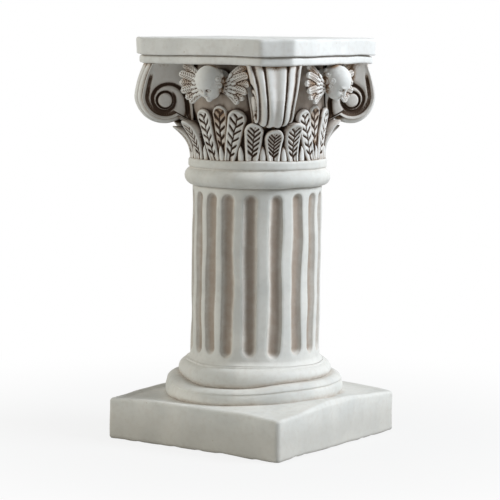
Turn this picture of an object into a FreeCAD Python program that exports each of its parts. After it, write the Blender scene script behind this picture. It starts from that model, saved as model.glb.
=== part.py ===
import FreeCAD, Part
import math
import os

from FreeCAD import Vector

# Small column stand, cast in sections and dressed with separately cast ornament.
# Millimetres, +Z up. The origin is on the floor, under the middle of the column.
# "front" is -Y, "right" is +X. One face, corner or leaf is shaped facing +X and
# is then turned about the column's axis to its place.

# Heights of the sections, from the floor up
pad_thickness = 1.0
plinth_height = 31.5
lower_ring_height = 17.0
upper_ring_height = 12.0
shaft_height = 129.5
neck_ring_height = 20.0
bell_height = 70.0
moulding_height = 6.5
slab_height = 12.5

# Plinth and its felt pads
plinth_side = 155.5
plinth_corner_round = 3.5
plinth_edge_round = 2.5
plinth_hollow_radius = 62.0
plinth_roof = 10.0
pad_radius = 8.0
pad_margin = 15.0

# Base rings
lower_ring_radius = 67.0
lower_ring_neck = 59.5
foot_radius = 65.2
foot_band_height = 12.0
crease_radius = 66.3
crease_depth = 0.4
upper_ring_radius = 57.4
upper_ring_foot = 56.2
upper_ring_neck = 52.0
upper_ring_step = 1.2

# Shaft and its flutes
shaft_radius = 48.5
shaft_foot_swell = 2.6
shaft_foot_height = 2.6
flute_count = 18
flute_width = 9.7
flute_depth = 3.3
flute_turn = 1.5
flute_foot_margin = 5.0
flute_head_margin = 4.5

# Neck ring
neck_bead_radius = 54.6
neck_bead_height = 13.0
neck_bead_neck = 50.6
neck_band_radius = 52.0
neck_band_edge = 1.0

# Hollow core and the glued sockets between sections
core_radius = 36.0
spigot_radius = 42.0
spigot_length = 6.0
joint_clearance = 0.25
bell_roof = 10.0

# Bell of the capital
bell_foot_radius = 46.5
bell_flare = 4.5
bell_flare_height = 37.0

# Leaves round the bell
leaf_pitch = 18.0
leaf_ring_turn = 3.5
leaf_thickness = 4.5
leaf_foot_width = 9.8
leaf_width = 14.4
corner_leaf_height = 23.5
corner_leaf_curl = 14.5
flank_leaf_height = 28.5
flank_leaf_curl = 13.0
flank_leaf_lean = 6.0
tall_leaf_height = 38.5
tall_leaf_curl = 4.0
tall_leaf_lean = 14.0
tall_leaf_turn = 7.5
back_leaf_height = 40.5
back_leaf_curl = 4.0
back_leaf_setback = 2.2
bud_height = 11.0
bud_width = 5.2
bud_curl = 1.5
vein_pairs = 5
vein_width = 0.9
vein_depth = 1.0
vein_slant = 40.0
vein_edge = 2.2

# Volutes on the corners; a reach is measured out from the bell's wall
scroll_centre_reach = 19.0
scroll_centre_drop = 24.0
scroll_radius = 21.0
scroll_head_reach = 33.0
scroll_shoulder_reach = 37.4
scroll_shoulder_drop = 11.5
scroll_head_width = 39.0
scroll_middle_width = 28.6
scroll_foot_width = 24.8
eye_drop = 27.0
eye_radius = 5.3
spiral_start = 22.0
spiral_shrink = 0.70
spiral_turns = 1.75
rim_share = 0.11
spiral_depth = 1.4
edge_crown = 4.2
edge_reed_shares = (0.24, 0.36, 0.52, 0.72, 0.90)
edge_channel_depth = 1.0
edge_groove_depth = 1.3
volute_tenon_width = 12.0
volute_tenon_height = 14.0
tenon_length = 6.0

# Winged heads in the middle of each side
head_reach = 16.0
head_drop = 13.4
head_shift = 6.5
head_width = 22.0
head_height = 26.0
head_tilt = 20.0
head_tenon_radius = 4.0
head_collar_radius = 6.5
curl_radius = 3.1
curls_per_row = 7
wing_reach = 10.0
wing_tip_thickness = 4.0
wing_root = 7.0
wing_drop = 17.0
feather_count = 5
feather_length = 24.5
feather_width = 6.6
feather_spread = 82.0
feather_top_angle = 44.0
covert_length = 14.5
covert_rise = 1.6

# Abacus
abacus_side = 143.0
abacus_chamfer = 17.7
abacus_edge_round = 2.2
moulding_inset = 2.0
moulding_shadow_gap = 0.8
moulding_shadow_depth = 1.2
moulding_lip_round = 1.6

# Locating dowels
dowel_radius = 2.5
dowel_grip = 6.0
dowel_end_gap = 0.5
base_dowel_circle = 52.0
abacus_dowel_circle = 45.5
dowel_count = 4
dowel_turn = 22.5

# Levels of the joints between the sections
plinth_bottom = pad_thickness
plinth_top = plinth_bottom + plinth_height
lower_ring_top = plinth_top + lower_ring_height
upper_ring_top = lower_ring_top + upper_ring_height
shaft_top = upper_ring_top + shaft_height
neck_ring_top = shaft_top + neck_ring_height
bell_top = neck_ring_top + bell_height
moulding_top = bell_top + moulding_height
slab_top = moulding_top + slab_height

# Radii and levels that follow from the sizes above
socket_radius = spigot_radius + joint_clearance
socket_depth = spigot_length + joint_clearance
bell_radius = bell_foot_radius + bell_flare
bell_flare_top = neck_ring_top + bell_flare_height
leaf_foot_radius = bell_foot_radius + leaf_thickness
scroll_centre_out = bell_radius + scroll_centre_reach
scroll_head_out = bell_radius + scroll_head_reach
scroll_shoulder_out = bell_radius + scroll_shoulder_reach
head_out = bell_radius + head_reach
wing_front = bell_radius + wing_reach
scroll_centre_z = bell_top - scroll_centre_drop
eye_z = bell_top - eye_drop
head_z = bell_top - head_drop

SIDES = {"front": -90.0, "right": 0.0, "back": 90.0, "left": 180.0}
CORNERS = {"front_right": -45.0, "back_right": 45.0, "back_left": 135.0, "front_left": 225.0}
ORIGIN = Vector(0, 0, 0)
UP = Vector(0, 0, 1)


def upright(out, height):
    """A point of a profile that stands in the plane y = 0."""
    return Vector(out, 0, height)


def across(side, height):
    """A point of an outline that faces +X."""
    return Vector(0, side, height)


def flat_face(start, steps, to_space):
    """A closed face; a step is a line to (a, b) or an arc (mid a, mid b, end a, end b)."""
    edges = []
    here = start
    for step in list(steps) + [start]:
        end = step[-2:]
        if len(step) == 4:
            arc = Part.Arc(to_space(*here), to_space(*step[:2]), to_space(*end))
            edges.append(arc.toShape())
        elif end != here:
            edges.append(Part.LineSegment(to_space(*here), to_space(*end)).toShape())
        here = end
    return Part.Face(Part.Wire(edges))


def turned_solid(start, steps, angle=360.0):
    """Revolves a profile of (radius, height) points about the column's axis."""
    face = flat_face(start, steps, upright)
    face.rotate(ORIGIN, UP, -angle / 2 if angle < 360.0 else 0)
    return face.revolve(ORIGIN, UP, angle)


def cylinder(radius, low, high):
    return Part.makeCylinder(radius, high - low, Vector(0, 0, low))


def centred_box(out_low, out_high, width, low, high):
    """A box from out_low to out_high along X, centred on y = 0."""
    return Part.makeBox(out_high - out_low, width, high - low, Vector(out_low, -width / 2, low))


def turned_copy(shape, angle):
    """A copy turned about the column's axis."""
    result = shape.copy()
    result.rotate(ORIGIN, UP, angle)
    return result


def turned_copies(shape, count, first_angle=0.0):
    return [turned_copy(shape, first_angle + 360.0 * i / count) for i in range(count)]


def curl_arc(foot, foot_z, flare, height):
    """The step of an arc that leaves its foot upright and leans out by flare at its top."""
    radius = (height ** 2 + flare ** 2) / (2 * flare)
    half = math.asin(min(1.0, height / radius)) / 2
    mid = (foot + radius * (1 - math.cos(half)), foot_z + radius * math.sin(half))
    return mid + (foot + flare, foot_z + height)


def dowel_set(circle, joint_z, grip_above):
    """Upright pins round the axis that cross the joint at joint_z."""
    foot = Vector(circle, 0, joint_z - dowel_grip)
    pin = Part.makeCylinder(dowel_radius, dowel_grip + grip_above, foot)
    return Part.makeCompound(turned_copies(pin, dowel_count, dowel_turn))


def dowel_holes(circle, joint_z, grip_above):
    """Holes for dowel_set: a tight fit, and a little deeper at each end."""
    length = dowel_grip + grip_above + 2 * dowel_end_gap
    foot = Vector(circle, 0, joint_z - dowel_grip - dowel_end_gap)
    hole = Part.makeCylinder(dowel_radius, length, foot)
    return turned_copies(hole, dowel_count, dowel_turn)


def spigot(joint_z):
    return cylinder(spigot_radius, joint_z - spigot_length, joint_z)


def socket(joint_z):
    return cylinder(socket_radius, joint_z - socket_depth, joint_z)


# Plinth and pads

def pad_places():
    reach = plinth_side / 2 - pad_margin
    return {
        "front_left": (-reach, -reach),
        "front_right": (reach, -reach),
        "back_right": (reach, reach),
        "back_left": (-reach, reach),
    }


def felt_pad(place):
    return Part.makeCylinder(pad_radius, pad_thickness, Vector(place[0], place[1], 0))


def plinth():
    half = plinth_side / 2
    block = Part.makeBox(plinth_side, plinth_side, plinth_height, Vector(-half, -half, plinth_bottom))
    corners = [e for e in block.Edges if abs(e.Vertexes[0].Z - e.Vertexes[1].Z) > plinth_height / 2]
    block = block.makeFillet(plinth_corner_round, corners)
    rim = [e for e in block.Edges if e.BoundBox.ZMin > plinth_top - plinth_edge_round / 2]
    block = block.makeFillet(plinth_edge_round, rim)
    hollow = cylinder(plinth_hollow_radius, plinth_bottom, plinth_top - plinth_roof)
    opening = cylinder(socket_radius, plinth_bottom, plinth_top)
    return block.cut([hollow, opening] + dowel_holes(base_dowel_circle, plinth_top, dowel_grip))


# Base rings, shaft and neck ring

def lower_base_ring():
    """A drum-shaped torus; a fine crease parts its round shoulder from its foot band."""
    crease_z = plinth_top + foot_band_height
    belly_z = plinth_top + foot_band_height * 0.55
    shoulder = (crease_radius + lower_ring_neck) / 2 + 1.6
    shoulder_z = (crease_z + lower_ring_top) / 2 + 0.7
    profile = [
        (foot_radius, plinth_top),
        (lower_ring_radius, belly_z, crease_radius - crease_depth, crease_z),
        (crease_radius, crease_z + crease_depth),
        (shoulder, shoulder_z, lower_ring_neck, lower_ring_top),
        (core_radius, lower_ring_top),
    ]
    ring = turned_solid((core_radius, plinth_top), profile)
    tail = spigot(plinth_top).cut(cylinder(core_radius, plinth_top - spigot_length, plinth_top))
    ring = ring.fuse(tail).removeSplitter()
    return ring.cut([socket(lower_ring_top)] + dowel_holes(base_dowel_circle, plinth_top, dowel_grip))


def upper_base_ring():
    middle_z = (lower_ring_top + upper_ring_top - upper_ring_step) / 2
    profile = [
        (upper_ring_foot, lower_ring_top),
        (upper_ring_radius, middle_z, upper_ring_neck, upper_ring_top - upper_ring_step),
        (upper_ring_neck, upper_ring_top),
        (core_radius, upper_ring_top),
        (core_radius, lower_ring_top - spigot_length),
        (spigot_radius, lower_ring_top - spigot_length),
    ]
    return turned_solid((spigot_radius, lower_ring_top), profile).cut(socket(upper_ring_top))


def flute_cutter():
    """One flute with ball-shaped ends, cut from outside."""
    half = flute_width / 2
    radius = (half ** 2 + flute_depth ** 2) / (2 * flute_depth)
    axis_out = shaft_radius - flute_depth + radius
    low = upper_ring_top + flute_foot_margin + half
    high = shaft_top - flute_head_margin - half
    middle = Part.makeCylinder(radius, high - low, Vector(axis_out, 0, low))
    ends = [Part.makeSphere(radius, Vector(axis_out, 0, z)) for z in (low, high)]
    return middle.fuse(ends)


def shaft():
    foot_top = upper_ring_top + shaft_foot_height
    swell_mid = (shaft_radius + shaft_foot_swell * 0.29, foot_top - shaft_foot_height * 0.71)
    profile = [
        (shaft_radius + shaft_foot_swell, upper_ring_top),
        swell_mid + (shaft_radius, foot_top),
        (shaft_radius, shaft_top),
        (core_radius, shaft_top),
        (core_radius, upper_ring_top - spigot_length),
        (spigot_radius, upper_ring_top - spigot_length),
    ]
    drum = turned_solid((spigot_radius, upper_ring_top), profile)
    flutes = turned_copies(flute_cutter(), flute_count, flute_turn)
    return drum.cut(flutes + [socket(shaft_top)])


def neck_ring():
    bead_top = shaft_top + neck_bead_height
    belly_z = shaft_top + neck_bead_height / 2
    profile = [
        (neck_bead_neck, shaft_top),
        (neck_bead_radius, belly_z, neck_bead_neck, bead_top),
        (neck_band_radius, bead_top + neck_band_edge),
        (neck_band_radius, neck_ring_top - neck_band_edge),
        (neck_band_radius - neck_band_edge, neck_ring_top),
        (core_radius, neck_ring_top),
        (core_radius, shaft_top - spigot_length),
        (spigot_radius, shaft_top - spigot_length),
    ]
    return turned_solid((spigot_radius, shaft_top), profile).cut(socket(neck_ring_top))


# Bell of the capital

def bell_form():
    """The outside of the bell, solid: what the ornament is fitted to."""
    profile = [
        (bell_foot_radius, neck_ring_top),
        curl_arc(bell_foot_radius, neck_ring_top, bell_flare, bell_flare_height),
        (bell_radius, bell_top),
        (0, bell_top),
    ]
    return turned_solid((0, neck_ring_top), profile)


def volute_tenon(play):
    """The block that holds a volute to the bell; play widens it into its mortise."""
    low = eye_z - volute_tenon_height / 2 - play
    high = eye_z + volute_tenon_height / 2 + play
    inner = bell_radius - tenon_length - play
    return centred_box(inner, scroll_centre_out - eye_radius, volute_tenon_width + 2 * play, low, high)


def head_tenon(play):
    """The round peg that holds a head to the bell; play widens it into its hole."""
    inner = bell_radius - tenon_length - play
    start = Vector(inner, head_shift, head_z)
    return Part.makeCylinder(head_tenon_radius + play, head_out - inner, start, Vector(1, 0, 0))


def capital_bell(form):
    tail = spigot(neck_ring_top)
    core = cylinder(core_radius, neck_ring_top - spigot_length, bell_top - bell_roof)
    mortises = [turned_copy(volute_tenon(joint_clearance), a) for a in CORNERS.values()]
    peg_holes = [turned_copy(head_tenon(joint_clearance), a) for a in SIDES.values()]
    holes = dowel_holes(abacus_dowel_circle, bell_top, moulding_height + dowel_grip)
    return form.fuse(tail).removeSplitter().cut([core] + mortises + peg_holes + holes)


# Leaves

def leaf_prism(height, foot_z, reach, lean=0.0):
    """A tongue that widens upwards and ends in a half round, from the axis out to reach."""
    top = neck_ring_top + height
    half = leaf_width / 2
    foot = leaf_foot_width / 2
    steps = [(half, top - half), (0, top, -half, top - half), (-foot, foot_z)]
    prism = flat_face((foot, foot_z), steps, across).extrude(Vector(reach, 0, 0))
    return leaned(prism, lean)


def leaned(shape, lean):
    """Tips a shape towards +Y about the middle of the leaves' foot line."""
    shape.rotate(Vector(0, 0, neck_ring_top), Vector(1, 0, 0), -lean)
    return shape


def leaf_shell(height, thickness, curl):
    """A slice of the space between the bell and a leaf's front."""
    top = neck_ring_top + height
    inner_top = max(top, bell_flare_top) + 1
    front = bell_foot_radius + thickness
    steps = [
        (front, neck_ring_top),
        curl_arc(front, neck_ring_top, curl, height),
        (front + curl, inner_top),
        (bell_radius, inner_top),
        (bell_radius, bell_flare_top),
        bell_arc_down(),
    ]
    return turned_solid((bell_foot_radius, neck_ring_top), steps, 2 * leaf_pitch)


def bell_arc_down():
    """The bell's flare as a step from its top down to its foot."""
    step = curl_arc(bell_foot_radius, neck_ring_top, bell_flare, bell_flare_height)
    return step[:2] + (bell_foot_radius, neck_ring_top)


def vein_prisms(height, reach):
    """The midrib and the slanted veins as bars that face +X."""
    top = neck_ring_top + height
    rib_top = top - vein_edge - 1
    bars = [centred_box(0, reach, vein_width, neck_ring_top, rib_top)]
    half = leaf_width / 2 - vein_edge
    length = half / math.cos(math.radians(vein_slant))
    first = neck_ring_top + height * 0.22
    step = (rib_top - half - first) / (vein_pairs - 1)
    for i in range(vein_pairs):
        z = first + i * step
        spread = 1.0 if i else 0.8
        for side in (1, -1):
            bar = Part.makeBox(reach, length * spread, vein_width, Vector(0, 0, -vein_width / 2))
            bar.rotate(ORIGIN, Vector(1, 0, 0), vein_slant)
            bar = bar.mirror(ORIGIN, Vector(0, 1, 0)) if side < 0 else bar
            bar.translate(Vector(0, 0, z))
            bars.append(bar)
    return bars


def leaf(height, curl, lean=0.0):
    """A veined leaf: its back fits the bell, its front leans out by curl and sideways by lean."""
    reach = leaf_foot_radius + curl + 1
    body = leaf_prism(height, neck_ring_top, reach, lean).common(leaf_shell(height, leaf_thickness, curl))
    floor = leaf_shell(height, leaf_thickness - vein_depth, curl)
    veins = [leaned(bar, lean).cut(floor) for bar in vein_prisms(height, reach + 1)]
    return one_solid(body.cut(veins))


def one_solid(shape):
    """The main solid of a boolean's result, without slivers."""
    return max(shape.Solids, key=lambda solid: solid.Volume)


def side_outlines(reach):
    """Plain outlines of the leaves of one side, tall ones first, from corner to corner."""
    kinds = (
        (tall_leaf_turn, tall_leaf_height, tall_leaf_lean),
        (1.5 * leaf_pitch, flank_leaf_height, flank_leaf_lean),
        (2.5 * leaf_pitch, corner_leaf_height, 0.0),
    )
    outlines = []
    for angle, height, splay in kinds:
        for side in (1, -1):
            prism = leaf_prism(height, neck_ring_top, reach, side * splay)
            outlines.append(turned_copy(prism, side * angle))
    return outlines


def back_leaf():
    """The leaf that looks out between two tall leaves; these hide its sides and foot."""
    thickness = leaf_thickness - back_leaf_setback
    prism = leaf_prism(back_leaf_height, neck_ring_top + bud_height, 2 * bell_radius)
    body = prism.common(leaf_shell(back_leaf_height, thickness, back_leaf_curl))
    return one_solid(body.cut(side_outlines(2 * bell_radius)))


def side_buds():
    """Small pointed leaves that fill the gaps between the feet of one side."""
    half = bud_width / 2
    top = neck_ring_top + bud_height
    middle = neck_ring_top + bud_height * 0.45
    steps = [(half * 0.9, middle, 0, top), (-half * 0.9, middle, -half, neck_ring_top)]
    outline = flat_face((half, neck_ring_top), steps, across)
    reach = leaf_foot_radius + bud_curl
    body = outline.extrude(Vector(reach, 0, 0)).common(leaf_shell(bud_height, leaf_thickness, bud_curl))
    beside = side_outlines(2 * bell_radius)
    return [one_solid(turned_copy(body, i * leaf_pitch).cut(beside)) for i in range(-2, 3)]


# Volutes

def scroll_outline(inset):
    """The volute seen from its side: a scroll that rises to the abacus."""
    radius = scroll_radius - inset
    start_angle = math.radians(-140)
    start = (
        scroll_centre_out + radius * math.cos(start_angle),
        scroll_centre_z + radius * math.sin(start_angle),
    )
    low_angle = math.radians(-70)
    steps = [
        (
            scroll_centre_out + radius * math.cos(low_angle),
            scroll_centre_z + radius * math.sin(low_angle),
            scroll_centre_out + radius,
            scroll_centre_z,
        ),
        (
            scroll_shoulder_out - inset,
            bell_top - scroll_shoulder_drop,
            scroll_head_out - inset,
            bell_top,
        ),
        (core_radius, bell_top),
        (core_radius, start[1]),
    ]
    return flat_face(start, steps, upright)


def scroll_width_form(inset):
    """The volute's width seen from its edge: narrow at its foot, flared at its head."""
    foot_z = scroll_centre_z - scroll_radius - 1
    halves = [w / 2 - inset for w in (scroll_foot_width, scroll_middle_width, scroll_head_width)]
    steps = [
        (halves[1], scroll_centre_z, halves[2], bell_top),
        (-halves[2], bell_top),
        (-halves[1], scroll_centre_z, -halves[0], foot_z),
    ]
    face = flat_face((halves[0], foot_z), steps, across)
    return face.extrude(Vector(scroll_centre_out + scroll_radius + 1, 0, 0))


def scroll_slice(inset, near, far):
    """The scroll's outline as two slices, from near to far on each side of its middle plane."""
    slices = []
    for low in (near, -far):
        face = scroll_outline(inset)
        face.translate(Vector(0, low, 0))
        slices.append(face.extrude(Vector(0, far - near, 0)))
    return slices


def scroll_body():
    """The scroll with reeds along its outer edge, which falls away towards both sides."""
    half_width = scroll_head_width / 2
    middle_half = scroll_middle_width / 2
    bounds = [0] + [share * middle_half for share in edge_reed_shares] + [half_width]
    slices = []
    for i in range(len(bounds) - 1):
        crown = edge_crown * (min(bounds[i + 1], middle_half) / middle_half) ** 2
        depth = (edge_channel_depth if i == 0 else edge_groove_depth) if i % 2 == 0 else 0
        last = i == len(bounds) - 2
        slices += scroll_slice(crown + (0 if last else depth), bounds[i], bounds[i + 1])
    return slices[0].fuse(slices[1:]).removeSplitter().common(scroll_width_form(0))


def spiral_radius(turns):
    return spiral_start * math.exp(-spiral_shrink * turns)


def spiral_point(turns, radius):
    angle = math.pi / 2 - 2 * math.pi * turns
    return Vector(scroll_centre_out + radius * math.cos(angle), 0, eye_z + radius * math.sin(angle))


def spiral_channel():
    """The sunk channel that winds from the head of the volute into its eye."""
    steps_per_turn = 12
    count = int(spiral_turns * steps_per_turn) + 1
    turns = [i / steps_per_turn for i in range(count)]
    outer = [spiral_point(t, spiral_radius(t) * (1 - rim_share)) for t in turns]
    inner = [spiral_point(t, max(spiral_radius(t + 1), eye_radius)) for t in turns]
    edges = []
    for points in (outer, inner[::-1]):
        curve = Part.BSplineCurve()
        curve.interpolate(points)
        edges.append(curve.toShape())
    edges.insert(1, Part.LineSegment(outer[-1], inner[-1]).toShape())
    edges.append(Part.LineSegment(inner[0], outer[0]).toShape())
    face = Part.Face(Part.Wire(edges))
    face.translate(Vector(0, -scroll_head_width, 0))
    channel = face.extrude(Vector(0, 2 * scroll_head_width, 0))
    return channel.cut(scroll_width_form(spiral_depth))


def volute(form, leaves):
    """A corner volute that fits the bell and the leaves below it."""
    body = one_solid(scroll_body().cut([spiral_channel(), form] + leaves))
    return one_solid(body.fuse(volute_tenon(0)))


# Winged heads

def cherub_head(form):
    """A round child's head that leans down from the wall, with a collar and a peg at its back."""
    half = head_height / 2
    cheek = head_width / 2
    profile = [
        (cheek * 0.84, -half * 0.42, cheek, half * 0.24),
        (cheek * 0.70, half * 0.82, 0, half),
    ]
    head = turned_solid((0, -half), profile)
    face_parts = [
        Part.makeSphere(cheek * 0.17, Vector(cheek * 0.98, 0, -half * 0.10)),
        Part.makeSphere(cheek * 0.24, Vector(cheek * 0.58, 0, -half * 0.62)),
        Part.makeSphere(cheek * 0.40, Vector(cheek * 0.45, cheek * 0.40, -half * 0.26)),
        Part.makeSphere(cheek * 0.40, Vector(cheek * 0.45, -cheek * 0.40, -half * 0.26)),
    ]
    head = head.fuse(face_parts + hair_curls(cheek, half))
    head.rotate(ORIGIN, Vector(0, 1, 0), head_tilt)
    head.translate(Vector(head_out, head_shift, head_z))
    start = Vector(bell_radius / 2, head_shift, head_z)
    collar = Part.makeCylinder(head_collar_radius, head_out - bell_radius / 2, start, Vector(1, 0, 0))
    head = head.fuse(collar).cut(form)
    return one_solid(head.fuse(head_tenon(0)))


def hair_curls(cheek, half):
    """Two rows of round curls over the sides and the back of the head."""
    curls = []
    for row, (lift, share) in enumerate(((0.12, 0.86), (0.58, 0.64))):
        for i in range(curls_per_row):
            angle = math.radians(70 + 220.0 * i / (curls_per_row - 1) + 8 * row)
            place = Vector(cheek * share * math.cos(angle), cheek * share * math.sin(angle), half * lift)
            curls.append(Part.makeSphere(curl_radius, place))
    return curls


def mirrored(shape):
    """The mirror image in the upright plane through a head's middle."""
    return shape.mirror(Vector(0, head_shift, 0), Vector(0, 1, 0))


def feather(length, width, angle, front):
    """One feather as a tongue that points away from the head, rising by angle."""
    half = width / 2
    steps = [
        (length - half, -half),
        (length, 0, length - half, half),
        (0, half),
    ]
    face = flat_face((0, -half), steps, across)
    face.rotate(ORIGIN, Vector(1, 0, 0), angle)
    face.translate(Vector(bell_radius / 2, head_shift + wing_root, bell_top - wing_drop))
    return face.extrude(Vector(front - bell_radius / 2, 0, 0))


def wing(form, head, volutes):
    """The wing on the +Y side of a head: long feathers under a row of short ones."""
    feathers = []
    for i in range(feather_count):
        share = i / (feather_count - 1)
        angle = feather_top_angle - feather_spread * share
        length = feather_length * (1 - 0.22 * share ** 2)
        front = wing_front - 0.35 * (i % 2)
        feathers.append(feather(length, feather_width, angle, front))
        feathers.append(feather(covert_length * length / feather_length, feather_width * 0.9,
                                angle - 5.0, front + covert_rise))
    body = feathers[0].fuse(feathers[1:])
    root = head_shift + wing_root - feather_width
    tip = head_shift + wing_root + feather_length
    back = [
        (wing_front - wing_tip_thickness, tip + 1),
        (0, tip + 1),
        (0, root),
    ]
    behind = flat_face((bell_radius - 2 * wing_tip_thickness, root), back, lambda x, y: Vector(x, y, 0))
    behind.translate(Vector(0, 0, neck_ring_top))
    behind = behind.extrude(Vector(0, 0, bell_height))
    return one_solid(body.cut([behind, form, head] + volutes))


# Abacus

def cut_corner_square(side, chamfer, low, high):
    """A square block with its four corners cut off."""
    half = side / 2
    near = half - chamfer
    points = [
        (half, -near), (half, near), (near, half), (-near, half),
        (-half, near), (-half, -near), (-near, -half), (near, -half),
    ]
    outline = Part.makePolygon([Vector(x, y, low) for x, y in points + points[:1]])
    return Part.Face(outline).extrude(Vector(0, 0, high - low))


def level_edges(shape, z):
    return [e for e in shape.Edges if abs(e.BoundBox.ZMin - z) < 0.01 and abs(e.BoundBox.ZMax - z) < 0.01]


def abacus_moulding():
    side = abacus_side - 2 * moulding_inset
    chamfer = abacus_chamfer - moulding_inset * (2 - math.sqrt(2))
    lip_top = moulding_top - moulding_shadow_gap
    lip = cut_corner_square(side, chamfer, bell_top, lip_top)
    lip = lip.makeFillet(moulding_lip_round, level_edges(lip, bell_top) + level_edges(lip, lip_top))
    neck_side = side - 2 * moulding_shadow_depth
    neck_chamfer = chamfer - moulding_shadow_depth * (2 - math.sqrt(2))
    neck = cut_corner_square(neck_side, neck_chamfer, bell_top + moulding_lip_round, moulding_top)
    holes = dowel_holes(abacus_dowel_circle, bell_top, moulding_height + dowel_grip)
    return lip.fuse(neck).removeSplitter().cut(holes)


def abacus_slab():
    slab = cut_corner_square(abacus_side, abacus_chamfer, moulding_top, slab_top)
    upright_edges = [e for e in slab.Edges if e.BoundBox.ZLength > slab_height / 2]
    slab = slab.makeFillet(abacus_edge_round, upright_edges)
    slab = slab.makeFillet(abacus_edge_round, level_edges(slab, slab_top))
    slab = slab.makeFillet(abacus_edge_round / 2, level_edges(slab, moulding_top))
    return slab.cut(dowel_holes(abacus_dowel_circle, bell_top, moulding_height + dowel_grip))


def save(shape, node):
    shape.exportStep("parts/" + node + ".step")


def save_base():
    for corner, place in pad_places().items():
        save(felt_pad(place), "felt_pad_" + corner)
    save(plinth(), "plinth")
    save(dowel_set(base_dowel_circle, plinth_top, dowel_grip), "base_dowels")
    save(lower_base_ring(), "base_lower_ring")
    save(upper_base_ring(), "base_upper_ring")
    save(shaft(), "shaft")
    save(neck_ring(), "neck_ring")


def save_leaves(corner_leaf, flank_leaves):
    buds = side_buds()
    behind = back_leaf()
    for corner, angle in CORNERS.items():
        turn = angle + leaf_ring_turn
        save(turned_copy(corner_leaf, turn), "corner_leaf_" + corner)
        for name, flank_leaf in zip("ab", flank_leaves):
            save(turned_copy(flank_leaf, turn), "flank_leaf_" + corner + "_" + name)
    for side_name, angle in SIDES.items():
        turn = angle + leaf_ring_turn
        for name, side in (("a", -1), ("b", 1)):
            tall_leaf = leaf(tall_leaf_height, tall_leaf_curl, side * tall_leaf_lean)
            save(turned_copy(tall_leaf, turn + side * tall_leaf_turn), "tall_leaf_" + side_name + "_" + name)
        save(turned_copy(behind, turn), "back_leaf_" + side_name)
        save(Part.makeCompound([turned_copy(bud, turn) for bud in buds]), "bud_leaves_" + side_name)


def flank_pair():
    """The leaves each side of a corner leaf, clear of the tall leaves beyond them."""
    tall_outlines = side_outlines(2 * bell_radius)[:2]
    tall = [turned_copy(outline, angle) for outline in tall_outlines for angle in (-45.0, 45.0)]
    pair = []
    for side in (-1, 1):
        body = leaf(flank_leaf_height, flank_leaf_curl, -side * flank_leaf_lean)
        pair.append(one_solid(turned_copy(body, side * leaf_pitch).cut(tall)))
    return pair


def save_capital():
    form = bell_form()
    corner_leaf = leaf(corner_leaf_height, corner_leaf_curl)
    flank_leaves = flank_pair()
    save(capital_bell(form), "capital_bell")
    save_leaves(corner_leaf, flank_leaves)
    below = [turned_copy(body, leaf_ring_turn) for body in [corner_leaf] + flank_leaves]
    scroll = volute(form, below)
    for corner, angle in CORNERS.items():
        save(turned_copy(scroll, angle), "volute_" + corner)
    head = cherub_head(form)
    beside = [turned_copy(scroll, a) for a in (-45.0, 45.0)]
    right_wing = wing(form, head, beside)
    left_wing = mirrored(wing(mirrored(form), mirrored(head), [mirrored(v) for v in beside]))
    for side_name, angle in SIDES.items():
        save(turned_copy(head, angle), "cherub_head_" + side_name)
        save(turned_copy(right_wing, angle), "wing_" + side_name + "_b")
        save(turned_copy(left_wing, angle), "wing_" + side_name + "_a")


def save_abacus():
    save(abacus_moulding(), "abacus_moulding")
    save(abacus_slab(), "abacus_slab")
    save(dowel_set(abacus_dowel_circle, bell_top, moulding_height + dowel_grip), "abacus_dowels")


os.makedirs("parts", exist_ok=True)
save_base()
save_capital()
save_abacus()
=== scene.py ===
import bpy
import math
import numpy as np
from mathutils import Matrix, Vector


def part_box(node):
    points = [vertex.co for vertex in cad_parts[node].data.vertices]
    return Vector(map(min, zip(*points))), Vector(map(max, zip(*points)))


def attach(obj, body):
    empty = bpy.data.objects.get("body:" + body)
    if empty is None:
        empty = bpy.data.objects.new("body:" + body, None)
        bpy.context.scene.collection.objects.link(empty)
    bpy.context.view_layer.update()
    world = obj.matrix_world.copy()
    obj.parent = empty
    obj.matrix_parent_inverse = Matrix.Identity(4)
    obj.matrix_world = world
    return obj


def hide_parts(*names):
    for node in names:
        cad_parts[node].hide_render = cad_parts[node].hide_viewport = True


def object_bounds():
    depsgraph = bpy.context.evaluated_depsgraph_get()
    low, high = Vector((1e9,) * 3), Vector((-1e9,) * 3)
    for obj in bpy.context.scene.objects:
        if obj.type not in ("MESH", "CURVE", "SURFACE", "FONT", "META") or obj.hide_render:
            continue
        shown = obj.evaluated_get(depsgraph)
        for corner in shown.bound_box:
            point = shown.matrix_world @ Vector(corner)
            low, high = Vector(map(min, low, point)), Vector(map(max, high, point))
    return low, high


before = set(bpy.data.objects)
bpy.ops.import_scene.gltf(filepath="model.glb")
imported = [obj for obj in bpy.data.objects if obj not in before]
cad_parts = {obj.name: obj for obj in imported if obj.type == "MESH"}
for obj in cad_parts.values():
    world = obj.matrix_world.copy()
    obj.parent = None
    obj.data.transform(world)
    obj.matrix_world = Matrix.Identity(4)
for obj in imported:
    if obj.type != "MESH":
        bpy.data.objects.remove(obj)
cad_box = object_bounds()

# Dressed cast column stand. Lengths are in millimetres until a mesh is made.
# "front" is -Y, "right" is +X. One side, corner or leaf is shaped facing +X and
# is then turned about the column's axis to its place.
MM = 0.001


def size_of(node):
    """The lowest and highest corner of a frame node, in millimetres."""
    low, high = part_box(node)
    return np.array(low) / MM, np.array(high) / MM


def top_of(node):
    return size_of(node)[1][2]


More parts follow.
